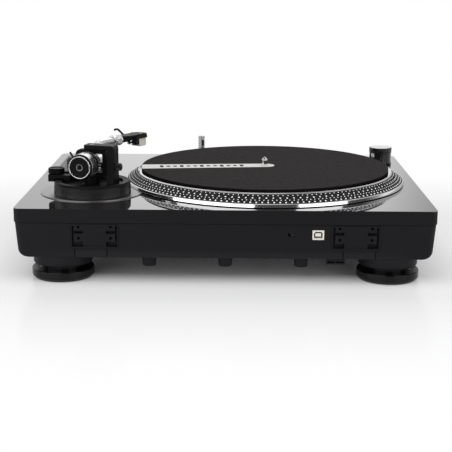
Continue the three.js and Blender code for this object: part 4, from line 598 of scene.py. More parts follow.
def bar(x0, x1, y0, y1, z0, z1, edge=0.0):
    """Rectangular bar with every edge rounded."""
    form = bmesh.new()
    bmesh.ops.create_cube(form, size=1)
    size = Matrix.Diagonal((x1 - x0, y1 - y0, z1 - z0, 1))
    middle = Matrix.Translation(((x0 + x1) / 2, (y0 + y1) / 2, (z0 + z1) / 2))
    bmesh.ops.transform(form, matrix=middle @ size, verts=form.verts)
    if edge:
        bevelled(form, form.edges[:], edge, 2)
    return form


def rod(radius, z0, z1, sides=32, edge=0.3):
    return turned([(0, z0), (radius, z0), (radius, z1), (0, z1)], sides, soften=edge)


def tube(radius, bore, z0, z1, sides=64, edge=0.3):
    return turned([(bore, z0), (radius, z0), (radius, z1), (bore, z1)], sides, closed=True, soften=edge)


def swept(points, radius, sides=24):
    """Round bar along a line of points, closed at both ends."""
    form = bmesh.new()
    line = [Vector(p) for p in points]
    side = Vector((0, 0, 1))
    rows = []
    for i, point in enumerate(line):
        ahead = (line[min(i + 1, len(line) - 1)] - line[max(i - 1, 0)]).normalized()
        right = ahead.cross(side).normalized()
        up = right.cross(ahead)
        rows.append([form.verts.new(point + (right * math.cos(a) + up * math.sin(a)) * radius)
                     for a in (2 * math.pi * k / sides for k in range(sides))])
    for low, high in zip(rows, rows[1:]):
        for i in range(sides):
            j = (i + 1) % sides
            form.faces.new((low[i], low[j], high[j], high[i]))
    form.faces.new(rows[0])
    form.faces.new(reversed(rows[-1]))
    return form


def moved(form, x=0.0, y=0.0, z=0.0, turn=0.0, axis="Z"):
    shift = Matrix.Translation((x, y, z)) @ Matrix.Rotation(turn, 4, axis)
    bmesh.ops.transform(form, matrix=shift, verts=form.verts)
    return form


def along_x(form):
    return moved(form, turn=math.pi / 2, axis="Y")


def along_y(form):
    return moved(form, turn=-math.pi / 2, axis="X")


def backward(form):
    return moved(form, turn=-math.pi / 2, axis="Y")


def together(*forms):
    """One form out of several that touch or stand apart."""
    whole = bmesh.new()
    for form in forms:
        spare = bpy.data.meshes.new("spare")
        form.to_mesh(spare)
        form.free()
        whole.from_mesh(spare)
        bpy.data.meshes.remove(spare)
    return whole


def loose(form):
    """A form as a bare object, for the boolean tool."""
    bmesh.ops.recalc_face_normals(form, faces=form.faces)
    mesh = bpy.data.meshes.new("loose")
    form.to_mesh(mesh)
    form.free()
    thing = bpy.data.objects.new("loose", mesh)
    bpy.context.scene.collection.objects.link(thing)
    return thing


def combined(form, tools, operation):
    """The form cut by, or joined with, each tool in turn."""
    things = [loose(form)] + [loose(tool) for tool in tools]
    for tool in things[1:]:
        step = things[0].modifiers.new("step", "BOOLEAN")
        step.operation = operation
        step.solver = "EXACT"
        step.object = tool
    bpy.context.view_layer.update()
    graph = bpy.context.evaluated_depsgraph_get()
    result = bmesh.new()
    mesh = bpy.data.meshes.new_from_object(things[0].evaluated_get(graph))
    result.from_mesh(mesh)
    bpy.data.meshes.remove(mesh)
    for thing in things:
        old = thing.data
        bpy.data.objects.remove(thing)
        bpy.data.meshes.remove(old)
    return result


def carved(form, *tools):
    return combined(form, tools, "DIFFERENCE")


def fused(form, *tools):
    return combined(form, tools, "UNION")


def piece(name, form, maker, body, axes=FLOOR_AXES, nodes=(), bevel=0.0, crisp=34, sides_maker=None):
    """Turns a form into a finished piece that rides on a body and stands for CAD nodes.

    Faces that don't look up take the finish of sides_maker, where there is one.
    """
    bmesh.ops.recalc_face_normals(form, faces=form.faces)
    mesh = bpy.data.meshes.new(name)
    form.to_mesh(mesh)
    form.free()
    mesh.transform(Matrix.Scale(MM, 4))
    mesh.materials.append(finish_of(maker))
    if sides_maker:
        mesh.materials.append(finish_of(sides_maker))
        for face in mesh.polygons:
            face.material_index = int(face.normal.z < 0.3)
    mesh.shade_smooth()
    mesh.set_sharp_from_angle(angle=math.radians(crisp))
    thing = bpy.data.objects.new(name, mesh)
    bpy.context.scene.collection.objects.link(thing)
    thing.matrix_world = axes
    if bevel:
        rounding = thing.modifiers.new("rounding", "BEVEL")
        rounding.width = bevel * MM
        rounding.segments = 2
        rounding.limit_method = "ANGLE"
        rounding.angle_limit = math.radians(crisp)
        rounding.harden_normals = True
    evening = thing.modifiers.new("evening", "WEIGHTED_NORMAL")
    evening.keep_sharp = True
    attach(thing, body)
    if nodes:
        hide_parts(*nodes)
    return thing


def body_of(node):
    return next(body for body, nodes in frame["record"]["behaviour"]["bodies"].items() if node in nodes)


def refined(name, node, maker, bevel, rise=1.0):
    """A piece with the node's own shape, its flat faces made whole and its edges rounded.

    Its height above the node's foot is scaled by rise.
    """
    form = bmesh.new()
    form.from_mesh(frame["nodes"][node].data)
    bmesh.ops.transform(form, matrix=Matrix.Scale(1 / MM, 4), verts=form.verts)
    bmesh.ops.remove_doubles(form, verts=form.verts, dist=0.002)
    foot = Matrix.Translation((0, 0, extent(node)[0].z * (1 - rise)))
    bmesh.ops.transform(form, matrix=foot @ Matrix.Diagonal((1, 1, rise, 1)), verts=form.verts)
    bmesh.ops.dissolve_limit(form, angle_limit=math.radians(1), verts=form.verts, edges=form.edges)
    piece(name, form, maker, body_of(node), nodes=[node], bevel=bevel)


def dress(node, maker):
    """A new finish on a node whose shape is right."""
    mesh = frame["nodes"][node].data
    for i in range(len(mesh.materials)):
        mesh.materials[i] = finish_of(maker)


# ---- Plinth --------------------------------------------------------------------------------

BUTTONS = ("start_stop_button", "speed_33_button", "speed_45_button")
BUTTON_LIP = 1.6                # how far a button's flange reaches under the deck
PITCH = Vector((centre("pitch_knob").x, centre("pitch_plate").y, DECK))
PITCH_SLOT = (4, 98.6)
MOTOR_OPENING = 43.3
ARM_STEM = 14
SLEEVE_OPENING = 6.7
CASING_BOTTOM = 29
LOWER_CORNER = 1.0              # rounding of the casing's short lower edges
FEET = {"fl": "foot_front_left", "fr": "foot_front_right", "rl": "foot_rear_left", "rr": "foot_rear_right"}
FOOT_BORE = 5.3
CUP_RADIUS = 32.2
CUP_BOTTOM = 16
CUP_ROUNDING = 2.7
GROOVE_SPAN = 34.4              # between the two grooves that run down beside a hinge socket
GROOVE_OUTSET = 4.2
BAY = (-102, -18, 104, 150)     # left, right, front and rear of the connection bay
BAY_HEIGHT = 24
BAY_WALL = 3
INLET_WINDOW = (12.3, 7.3)      # half width and half height
JACK_WINDOW = (15, 4.5)
SWITCH_X = -70.2
SWITCH_WINDOW = (3.3, 1.7)
HOOK_X = -117.8
HOOK_HALF = 10.2
HOOK_SLOT = 7.95
STUD_SPACING = 81.8


class PLAYER_OT_cover(bpy.types.Operator):
    """Gloss deck with its skirt, wells for the buttons and holes for motor, arm and light"""

    bl_idname = "record_player.cover"
    bl_label = "Deck cover"

    def execute(self, context):
        sizes = settings("plinth")
        low, high = extent("top_cover")
        wide, deep = high.x - low.x, high.y - low.y
        corner, wall, top = sizes.corner / MM, sizes.cover_wall / MM, sizes.cover_top / MM
        slab = prism(rounded_rectangle(wide, deep, corner, 8), low.z, high.z, sizes.edge / MM, 3)
        inner = rounded_rectangle(wide - 2 * wall, deep - 2 * wall, corner - wall, 6)
        hollow = prism(inner, low.z - 5, high.z - top)
        under, over_deck = high.z - 2 * top, high.z + 2
        wells = []
        margin = 2 * (BUTTON_LIP - FIT)
        for node in BUTTONS:
            a, b = extent(node)
            well = rounded_rectangle(b.x - a.x - margin, b.y - a.y - margin, 2)
            wells.append(moved(prism(well, under, over_deck), (a.x + b.x) / 2, (a.y + b.y) / 2))
        slot = moved(prism(rounded_rectangle(*PITCH_SLOT, 0.5), under, over_deck), PITCH.x, PITCH.y)
        holes = [(MOTOR_OPENING, SPINDLE), (ARM_STEM + FIT, PIVOT), (SLEEVE_OPENING, centre("stylus_light"))]
        rounds = [moved(rod(r, under, over_deck, 64, 0), p.x, p.y) for r, p in holes]
        cover = carved(slab, hollow, slot, *wells, *rounds)
        piece("deck_cover", cover, deck_lacquer, "plinth", nodes=["top_cover"], sides_maker=satin_casing)
        return {"FINISHED"}


def casing_shell(inset, bottom, top, sizes):
    """Casing form: sides that lean in, rounded long edges below, inset all round for the inside."""
    high = extent("base_tub")[1]
    half, deep = high.x - inset, high.y - inset
    radius = sizes.lower_radius / MM - inset
    lean = sizes.draft / MM
    corner = max(1.0, sizes.corner / MM - inset)
    rows = [(half, deep - 0.4, top), (half, deep, top - 0.4), (half - lean, deep, bottom + radius)]
    steps = 8
    for k in range(1, steps + 1):
        angle = math.radians(90 * k / steps)
        tuck = radius * (1 - math.cos(angle))
        rise = radius * (1 - math.sin(angle))
        near = max(0.0, LOWER_CORNER - rise)
        reach = math.sqrt(max(0.0, LOWER_CORNER ** 2 - near ** 2))
        rows.append((half - lean - tuck, deep - LOWER_CORNER + reach, bottom + rise))
    form = bmesh.new()
    rings = []
    for wide, long, z in rows:
        outline = rounded_rectangle(2 * wide, 2 * long, corner, 8)
        rings.append([form.verts.new((x, y, z)) for x, y in outline])
    for upper, lower in zip(rings, rings[1:]):
        for i in range(len(upper)):
            j = (i + 1) % len(upper)
            form.faces.new((upper[i], upper[j], lower[j], lower[i]))
    form.faces.new(rings[0])
    form.faces.new(reversed(rings[-1]))
    return form


class PLAYER_OT_casing(bpy.types.Operator):
    """Satin casing with foot cups, connection bay, lead hook, under studs and rear pockets"""

    bl_idname = "record_player.casing"
    bl_label = "Casing"

    def execute(self, context):
        sizes = settings("plinth")
        high = extent("base_tub")[1]
        bottom, rear, top = CASING_BOTTOM, high.y, high.z
        floor = bottom + sizes.casing_wall / MM
        shell = casing_shell(0, bottom, top, sizes)
        hollow = casing_shell(sizes.casing_wall / MM, floor, top + 6, sizes)
        pockets, grooves = [], []
        for node in ("hinge_socket_left", "hinge_socket_right"):
            a, b = extent(node)
            pockets.append(self.pocket(node, a.y - FIT, b.y + 4))
            middle = (a.x + b.x) / 2
            middle += math.copysign(GROOVE_OUTSET, middle)
            for x in (middle - GROOVE_SPAN / 2, middle + GROOVE_SPAN / 2):
                grooves.append(bar(x - 0.6, x + 0.6, rear - 1.4, rear + 3, bottom - 1, floor + 6))
        pockets.append(self.pocket("data_jack", rear - 9, rear + 3))
        pockets.append(self.window(SWITCH_X, centre("output_switch").z, SWITCH_WINDOW, rear - 9, rear + 3))
        bores = []
        for node in FEET.values():
            spot = centre(node)
            bores.append(moved(rod(FOOT_BORE, 0, 60, 32, 0), spot.x, spot.y))
        left, right, front, back = BAY
        bay = bar(left, right, front, back, bottom - 1, bottom + BAY_HEIGHT)
        box = bar(left - BAY_WALL, right + BAY_WALL, front - BAY_WALL, back + BAY_WALL,
                  floor - 1, bottom + BAY_HEIGHT + BAY_WALL)
        windows = []
        for node, half in (("mains_inlet", INLET_WINDOW), ("signal_jacks", JACK_WINDOW)):
            spot = centre(node)
            windows.append(self.window(spot.x, spot.z, half, front - 6, front + 4))
        whole = carved(fused(carved(shell, hollow), box), bay, *windows, *pockets, *grooves, *bores)
        piece("casing", whole, satin_casing, "plinth", nodes=["base_tub"])
        self.cups(bottom, sizes.foot_neck / MM + FIT)
        self.hook(bottom, rear)
        self.studs(bottom, rear)
        return {"FINISHED"}

    def pocket(self, node, front, rear):
        """Room for a node in the wall, with the fit all round it."""
        a, b = extent(node)
        return bar(a.x - FIT, b.x + FIT, front, rear, a.z - FIT, b.z + FIT)

    def window(self, x, z, half, front, rear):
        wide, tall = half
        return bar(x - wide, x + wide, front, rear, z - tall, z + tall)

    def cups(self, bottom, neck):
        """Round skirts under the casing that the feet's necks slide in."""
        for key, node in FEET.items():
            spot = centre(node)
            lower = [(CUP_RADIUS - CUP_ROUNDING + x, CUP_BOTTOM + CUP_ROUNDING + z)
                     for x, z in arc(CUP_ROUNDING, -90, 0, 6)]
            profile = [(neck, CUP_BOTTOM), *lower, (CUP_RADIUS, bottom + 0.2), (neck, bottom + 0.2)]
            cup = turned(profile, 128, closed=True)
            piece("foot_cup_" + key, cup, satin_casing, "plinth", placed(spot.x, spot.y, 0))

    def hook(self, bottom, rear):
        block = bar(-HOOK_HALF, HOOK_HALF, rear - 8, rear, bottom - 5.6, bottom + 0.2, 0.4)
        slots = [bar(x, x + HOOK_SLOT, rear - 12, rear + 4, bottom - 4.1, bottom - 1.4)
                 for x in (-0.75 - HOOK_SLOT, 0.75)]
        piece("lead_hook", carved(block, *slots), satin_casing, "plinth", placed(HOOK_X, 0, 0))

    def studs(self, bottom, rear):
        bore, tip, root, drop = 4, 7, 8, 10.5
        for i in range(3):
            profile = [(bore, bottom), (bore, bottom - drop), (tip, bottom - drop), (root, bottom + 0.2)]
            stud = turned(profile, 48, closed=True, soften=0.4)
            axes = placed((i - 1) * STUD_SPACING, rear - 12, 0)
            piece(f"under_stud_{i + 1}", stud, satin_casing, "plinth", axes)


class PLAYER_OT_feet(bpy.types.Operator):
    """Four screw-adjusted feet: a gloss pad with a rubber sole, a neck and a stud"""

    bl_idname = "record_player.feet"
    bl_label = "Feet"

    def execute(self, context):
        neck = settings("plinth").foot_neck / MM
        for key, node in FEET.items():
            low, high = extent(node)
            radius, spot, stud = (high.x - low.x) / 2, (low + high) / 2, high.z
            axes = placed(spot.x, spot.y, 0)
            pad = [(radius - 2.6, 1.4), (radius, 2.6), (radius, 11), (neck + 2, 10.4)]
            pad = softened(pad, 1.2, steps=4)
            profile = [(0, 1.4), *pad, (neck, 10.8), (neck, 21.8), (neck - 0.6, 22.2), (5, 22.2),
                       (5, stud - 0.6), (4.4, stud), (0, stud)]
            piece("foot_" + key, turned(profile, 128), foot_gloss, "foot_" + key, axes, nodes=[node])
            sole = turned([(0, 0), (radius - 2.8, 0), (radius - 2.8, 1.6), (0, 1.6)], 128, soften=0.5)
            piece("sole_" + key, sole, rubber, "foot_" + key, axes)
        return {"FINISHED"}


class PLAYER_OT_hinge_sockets(bpy.types.Operator):
    """Two moulded receivers for the dust cover's hinges, let into the casing's rear wall"""

    bl_idname = "record_player.hinge_sockets"
    bl_label = "Hinge sockets"

    def execute(self, context):
        for side in ("left", "right"):
            low, high = extent("hinge_socket_" + side)
            half, tall = (high.x - low.x) / 2, (high.z - low.z) / 2
            middle = (low + high) / 2
            face = high.y
            channel, front = face - 5, face + 2
            outer, inner, slot, border = half - 1.3, 12.3, 2.3, 1.4
            block = bar(-half, half, low.y, face, -tall, tall, 0.35)
            cuts = []
            for way in (-1, 1):
                groove = sorted((way * (outer - slot), way * outer))
                bridge = sorted((way * inner, way * (outer - 0.01)))
                cuts.append(bar(*groove, channel, front, border - tall, tall - border))
                cuts.append(bar(*bridge, channel, front, 2.8, 6.0))
                cuts.append(bar(*bridge, channel, front, border - tall, 6.9 - tall))
                for z in (tall - 2.8, -tall / 6):
                    hole = along_y(rod(1.5, channel, front, 24, 0))
                    cuts.append(moved(hole, way * (inner + outer - slot) / 2, 0, z))
            cuts.append(bar(-12, 12, face - 0.5, front, 2.0 - tall, 2.6 - tall))
            piece("hinge_socket_" + side + "_moulding", carved(block, *cuts), satin_casing, "plinth",
                  placed(middle.x, 0, middle.z), nodes=["hinge_socket_" + side], crisp=15)
        return {"FINISHED"}


class PLAYER_OT_rear_connectors(bpy.types.Operator):
    """Square data jack and the small slide switch beside it"""

    bl_idname = "record_player.rear_connectors"
    bl_label = "Rear connectors"

    def execute(self, context):
        low, high = extent("data_jack")
        middle = (low + high) / 2
        axes = placed(middle.x, 0, middle.z)
        half, tall, wall, chamfer = (high.x - low.x) / 2, (high.z - low.z) / 2, 1.7, 1.6
        shell = bar(-half, half, low.y, high.y, -tall, tall, 0.3)
        wide, deep = half - wall, tall - wall
        mouth = prism([(-wide, -deep), (wide, -deep), (wide, deep - chamfer), (wide - chamfer, deep),
                       (-wide + chamfer, deep), (-wide, deep - chamfer)], -high.y - 2, -low.y - 3)
        mouth = moved(mouth, turn=math.pi / 2, axis="X")
        piece("data_jack_shell", carved(shell, mouth), ivory, "plinth", axes, nodes=["data_jack"])
        liner = bar(-wide + 0.1, wide - 0.1, low.y + 3, low.y + 4, -deep, deep, 0.1)
        piece("data_jack_back", liner, black_metal, "plinth", axes)
        tongue = bar(-half / 2, half / 2, low.y + 3.5, high.y - 1.2, -tall / 3, tall / 3, 0.35)
        piece("data_jack_tongue", tongue, ivory, "plinth", axes)
        contacts = [bar(x - 0.45, x + 0.45, low.y + 4, high.y - 2, z - 0.12, z + 0.12, 0.05)
                    for x in (-1.3, 1.3) for z in (-tall / 3 - 0.05, tall / 3 + 0.05)]
        piece("data_jack_contacts", together(*contacts), steel, "plinth", axes)
        refined("output_switch_knob", "output_switch", black_metal, 0.25)
        return {"FINISHED"}


class PLAYER_OT_bay_connectors(bpy.types.Operator):
    """Mains inlet, signal jacks and earth post inside the connection bay"""

    bl_idname = "record_player.bay_connectors"
    bl_label = "Bay connectors"

    def execute(self, context):
        refined("mains_inlet_moulding", "mains_inlet", satin_casing, 0.3)
        refined("signal_jack_plate", "signal_jacks", steel, 0.2)
        return {"FINISHED"}


class PLAYER_OT_insides(bpy.types.Operator):
    """Motor, bearing, transformer and boards under the deck"""

    bl_idname = "record_player.insides"
    bl_label = "Insides"

    def execute(self, context):
        for node, maker in (("main_board", circuit_board), ("control_board", circuit_board),
                            ("transformer", copper), ("pitch_fader", steel)):
            dress(node, maker)
        bore, drum, flange = 15, 43, 56
        stator = [(bore, -7.3), (flange, -7.3), (flange, -4.3), (drum, -4.3), (drum, 8.5), (bore, 8.5)]
        piece("motor_windings", turned(stator, 128, closed=True, soften=0.6), copper, "plinth", SPINDLE_AXES,
              nodes=["motor_stator"])
        housing, collar, crown = 9.5, 22, 3.7
        bearing = [(0, -31.3), (housing, -31.3), (housing, -10.6), (collar, -10.6), (collar, -7.6),
                   (housing, -7.6), (housing, crown), (SPINDLE_BORE, crown), (SPINDLE_BORE, -28.3),
                   (0, -28.3)]
        piece("bearing_housing", turned(bearing, 64, soften=0.3), steel, "plinth", SPINDLE_AXES,
              nodes=["spindle_bearing"])
        piece("magnet_ring", tube(52, 44, 1, 9.2, 128, 0.4), steel, "turning_platter", SPINDLE_AXES,
              nodes=["rotor_magnet"])
        return {"FINISHED"}


# ---- Platter -------------------------------------------------------------------------------

_, PLATTER_RADIUS, PLATTER_UNDERSIDE, PLATTER_TOP = round_place("platter")
PLATTER_FOOT = PLATTER_UNDERSIDE - 0.9
RIM_LEAN = 0.16                 # run of the rim inwards for each millimetre of height
BAND_INSET = 0.35
SPINDLE_BORE = 3.9
DOT_SIDES = 12


def strobe_dots(sizes):
    """Four rows of low round dots standing on the platter's sloping edge."""
    rim = sizes.rim_height / MM
    crest = Vector((sizes.face / MM, PLATTER_TOP - 0.14))
    foot = Vector((PLATTER_RADIUS - 0.5 - RIM_LEAN * rim, PLATTER_FOOT + rim + 0.1))
    slope = foot - crest
    down = slope.normalized()
    out = Vector((-down.y, down.x))
    # Each row's share of the way down the slope, its count and the radius of its dots.
    rows = ((0.22, sizes.inner_dots, 0.64), (0.44, sizes.second_dots, 0.92), (0.63, sizes.third_dots, 0.64),
            (0.83, sizes.outer_dots, 0.98))
    rise = sizes.dot_rise / MM
    form = bmesh.new()
    for share, count, radius in rows:
        spot = crest + slope * share
        for i in range(count):
            turn = Matrix.Rotation(2 * math.pi * i / count, 3, "Z")
            rings = []
            for reach, lift in ((radius, -0.1), (radius, rise * 0.5), (radius * 0.8, rise)):
                ring = []
                for k in range(DOT_SIDES):
                    a = 2 * math.pi * k / DOT_SIDES
                    flat = spot + down * (reach * math.cos(a)) + out * lift
                    ring.append(form.verts.new(turn @ Vector((flat.x, reach * math.sin(a), flat.y))))
                rings.append(ring)
            for low, high in zip(rings, rings[1:]):
                for k in range(DOT_SIDES):
                    following = (k + 1) % DOT_SIDES
                    form.faces.new((low[k], low[following], high[following], high[k]))
            form.faces.new(rings[-1])
            form.faces.new(reversed(rings[0]))
    return form


class PLAYER_OT_platter(bpy.types.Operator):
    """Polished cast platter with a black band of strobe dots round its sloping edge"""

    bl_idname = "record_player.platter"
    bl_label = "Platter"

    def execute(self, context):
        sizes = settings("platter")
        face, radius, top, foot = sizes.face / MM, PLATTER_RADIUS, PLATTER_TOP, PLATTER_FOOT
        rim = foot + sizes.rim_height / MM
        web, hub, cavity, skirt = top - 4.3, 14, 148, radius - 7
        lean = RIM_LEAN * sizes.rim_height / MM
        crest, brink = Vector((face, top)), Vector((radius - lean - 0.5, rim + 0.25))
        down = (brink - crest).normalized()
        under = Vector((down.y, -down.x)) * BAND_INSET
        start = crest + down * (sizes.shoulder / MM)
        stop = brink - down * 0.7
        profile = [(SPINDLE_BORE, web - 5.5), (hub, web - 5.5), (hub, web), (cavity, web),
                   (skirt, foot + 1.2), (skirt, foot), (radius, foot), (radius - lean, rim),
                   tuple(brink), tuple(stop), tuple(stop + under), tuple(start + under), tuple(start),
                   (face, top), (SPINDLE_BORE, top)]
        body = turned(profile, 320, closed=True, soften=0.2)
        piece("platter_casting", body, polished_rim, "turning_platter", SPINDLE_AXES, nodes=["platter"],
              crisp=40)
        upper, lower = under * 0.4, under
        band = [tuple(spot) for spot in (start + upper, stop + upper, stop + lower, start + lower)]
        piece("strobe_band", turned(band, 320, closed=True), strobe_black, "turning_platter", SPINDLE_AXES)
        piece("strobe_dots", strobe_dots(sizes), strobe_white, "turning_platter", SPINDLE_AXES, crisp=60)
        return {"FINISHED"}


class PLAYER_OT_slipmat(bpy.types.Operator):
    """Felt slipmat with a printed index stripe"""

    bl_idname = "record_player.slipmat"
    bl_label = "Slipmat"

    def execute(self, context):
        _, radius, bottom, top = round_place("slipmat")
        profile = [(SPINDLE_BORE, bottom), (radius - 0.2, bottom), (radius, bottom + 0.3),
                   (radius, top - 0.3), (radius - 0.4, top), (radius - 40, top), (radius - 90, top),
                   (SPINDLE_BORE, top)]
        mat = turned(profile, 256, closed=True, soften=0.25)
        # The mat's side takes the felt in painted shade.
        thing = piece("slipmat_disc", mat, slipmat_felt, "mat", SPINDLE_AXES, nodes=["slipmat"],
                      sides_maker=painted_shade_felt_side)
        wide = 2 * radius * MM
        area = math.pi * (radius * MM) ** 2
        return {"FINISHED"}


class PLAYER_OT_spindle(bpy.types.Operator):
    """Chromed centre spindle with a pointed tip"""

    bl_idname = "record_player.spindle"
    bl_label = "Spindle"

    def execute(self, context):
        _, _, bottom, tip = round_place("spindle")
        shaft, waist = SPINDLE_BORE - FIT, 2.9
        profile = [(0, bottom), (shaft, bottom), (shaft, tip - 9.2), (waist, tip - 8.8), (waist, tip - 4.2),
                   (shaft, tip - 3.7), (3.4, tip - 3.0), (0.7, tip - 0.3), (0, tip)]
        piece("centre_spindle", turned(profile, 64, soften=0.2), chrome, "turning_platter", SPINDLE_AXES,
              nodes=["spindle"])
        return {"FINISHED"}


# ---- Controls ------------------------------------------------------------------------------


class PLAYER_OT_controls(bpy.types.Operator):
    """Start and speed buttons, pitch slider with its plate and knob"""

    bl_idname = "record_player.controls"
    bl_label = "Controls"

    def execute(self, context):
        for node in BUTTONS:
            low, high = extent(node)
            wide, deep = high.x - low.x, high.y - low.y
            middle = (low + high) / 2
            top = rounded_rectangle(wide - 2 * BUTTON_LIP, deep - 2 * BUTTON_LIP, 2)
            cap = prism(top, low.z + 1, high.z, 0.7, 3)
            flange = prism(rounded_rectangle(wide, deep, 2), low.z, low.z + 2, 0.3)
            piece(node + "_cap", together(cap, flange), cap_silver, node.replace("_button", ""),
                  placed(middle.x, middle.y, 0), nodes=[node])
        low, high = extent("pitch_plate")
        plate = prism(rounded_rectangle(high.x - low.x, high.y - low.y, 2), low.z, high.z, 0.3)
        slot = prism(rounded_rectangle(*PITCH_SLOT, 0.5), low.z - 2, high.z + 2)
        piece("pitch_panel", carved(plate, slot, *self.scale_marks(high)), black_metal, "plinth",
              placed(PITCH.x, PITCH.y, 0), nodes=["pitch_plate"])
        self.knob()
        return {"FINISHED"}

    def scale_marks(self, high):
        """Engraved marks beside the slot, longer at the middle and ends."""
        marks, pitch = [], 5.5
        for i in range(-8, 9):
            reach = 12 if i % 4 == 0 else 9
            marks.append(bar(5.5, reach, i * pitch - 0.25, i * pitch + 0.25, high.z - 0.25, high.z + 1))
        return marks

    def knob(self):
        """Slider knob: a dished grip over its stem, with a pointer line in the dish."""
        low, high = extent("pitch_knob")
        middle = (low + high) / 2
        bottom, top = DECK + 1.8, high.z - 1.5
        foot, brow, half, dip, steps = 7.5, 6.5, 8.5, 2.5, 10
        outline = softened([(-foot, bottom), (foot, bottom), (brow, top)], 0.3)
        for k in range(1, steps + 1):
            t = k / steps
            outline.append((brow - 2 * brow * t, top - dip * 4 * t * (1 - t)))
        grip = prism(outline, -half, half, 0.5)
        grip = moved(moved(grip, turn=math.pi / 2, axis="X"), turn=math.pi / 2)
        stem = bar(-1.7, 1.7, -4, 4, low.z, bottom + 1, 0.2)
        axes = placed(middle.x, middle.y, 0)
        piece("pitch_grip", together(grip, stem), black_metal, "pitch", axes, nodes=["pitch_knob"])
        line = bar(0.3 - half, half - 0.3, -0.35, 0.35, top - dip - 0.2, top - dip + 0.15, 0.1)
        piece("pitch_pointer", line, strobe_white, "pitch", axes)


class PLAYER_OT_strobe_tower(bpy.types.Operator):
    """Strobe tower with its lens, and the power knob on top"""

    bl_idname = "record_player.strobe_tower"
    bl_label = "Strobe tower"

    def execute(self, context):
        spot, radius, _, height = round_place("strobe_tower")
        axes = placed(spot.x, spot.y, DECK)
        toward = math.atan2(SPINDLE.y - spot.y, SPINDLE.x - spot.x)
        waist, bore = radius - 0.4, 3.3
        profile = [(0, 0.3), (radius, 0.3), (radius, 2.2), (waist, 2.6), (waist, height - 2.2),
                   (radius, height - 1.8), (radius, height), (bore, height), (bore, height - 4),
                   (0, height - 4)]
        column = turned(profile, 128, soften=0.25)
        eye = self.facing(rod(3.7, radius / 2, 2 * radius, 48, 0), height, toward)
        piece("strobe_column", carved(column, eye), gloss_metal, "plinth", axes, nodes=["strobe_tower"])
        back = radius / 2 + 0.3
        profile = [(0, back), (3.4, back), (3.4, radius - 1.6), (2.4, radius - 0.7), (0, radius - 0.3)]
        lens = turned(profile, 48, soften=0.6)
        piece("strobe_window", self.facing(lens, height, toward), clear_lens, "plinth", axes,
              nodes=["strobe_lens"])
        self.knob(axes, radius, height + FIT, round_place("power_knob")[3])
        return {"FINISHED"}

    def facing(self, form, height, toward):
        """Lays a turned form on its side below the tower's top, towards the platter."""
        return moved(moved(along_x(form), z=height - 4.5), turn=toward)

    def knob(self, axes, radius, base, top):
        rim = radius - 0.9
        profile = [(0, base - 4), (3, base - 4), (3, base), (radius, base), (radius, base + 1),
                   (radius, base + 1.2, 1), (radius, top - 0.9, 1), (radius - 0.6, top - 0.1),
                   (rim, top - 0.1), (rim, top - 1), (0, top - 1)]
        cap = turned(profile, 360, soften=0.2, ribs=60, depth=0.2)
        piece("power_cap", cap, gloss_metal, "power", axes, nodes=["power_knob"])
        piece("power_disc", rod(radius - 1, top - 0.9, top, 128, 0.15), cap_silver, "power", axes)


class PLAYER_OT_stylus_light(bpy.types.Operator):
    """Pop-up stylus light in its sleeve"""

    bl_idname = "record_player.stylus_light"
    bl_label = "Stylus light"

    def execute(self, context):
        spot, radius, bottom, top = round_place("stylus_light")
        axes = placed(spot.x, spot.y, DECK)
        toward = math.atan2(SPINDLE.y - spot.y, SPINDLE.x - spot.x)
        waist = radius - 0.35
        profile = [(0, bottom), (radius, bottom), (radius, top - 10.4), (waist, top - 10), (waist, top - 9.4),
                   (radius, top - 9), (radius, top - 0.8), (radius - 0.8, top), (0, top)]
        stem = turned(profile, 64, soften=0.15)
        wide = radius * 0.34
        window = moved(bar(radius * 0.65, radius + 2, -wide, wide, top - 13, top - 1.4), turn=toward)
        piece("light_stem", carved(stem, window), cap_silver, "light", axes, nodes=["stylus_light"])
        lamp = bar(radius * 0.55, radius * 0.75, -wide, wide, top - 5, top - 1.5, 0.1)
        piece("light_lamp", moved(lamp, turn=toward), clear_lens, "light", axes)
        liner = bar(radius * 0.55, radius * 0.68, -wide, wide, top - 12.9, top - 5.2, 0.05)
        piece("light_slot", moved(liner, turn=toward), strobe_black, "light", axes)
        _, outer, foot, crown = round_place("light_sleeve")
        collar = tube(outer, radius + FIT, foot, crown, 64, 0.4)
        piece("light_collar", collar, chrome, "plinth", axes, nodes=["light_sleeve"])
        return {"FINISHED"}


# ---- Tonearm base --------------------------------------------------------------------------

RING_TOP = 16
RING_RADIUS = 43
RING_BORE = 34.2
MOUNT_FLOOR = 12.5
SHELF_BOTTOM = RING_TOP + FIT
SHELF_TOP = extent("cue_column")[0].z - DECK - FIT
SHELF_RADIUS = 51.5
SHELF_START, SHELF_END = -7, -96
SHELF_HOLE = 2.7
PILLAR_TOP = 20.58


def sector(inner, outer, start, end, z0, z1, edge=0.0):
    steps = max(6, int(abs(end - start) / 2.5))
    outline = arc(outer, start, end, steps) + arc(inner, end, start, steps)
    return prism(softened(outline, min(1.2, (outer - inner) / 4), True), z0, z1, edge)


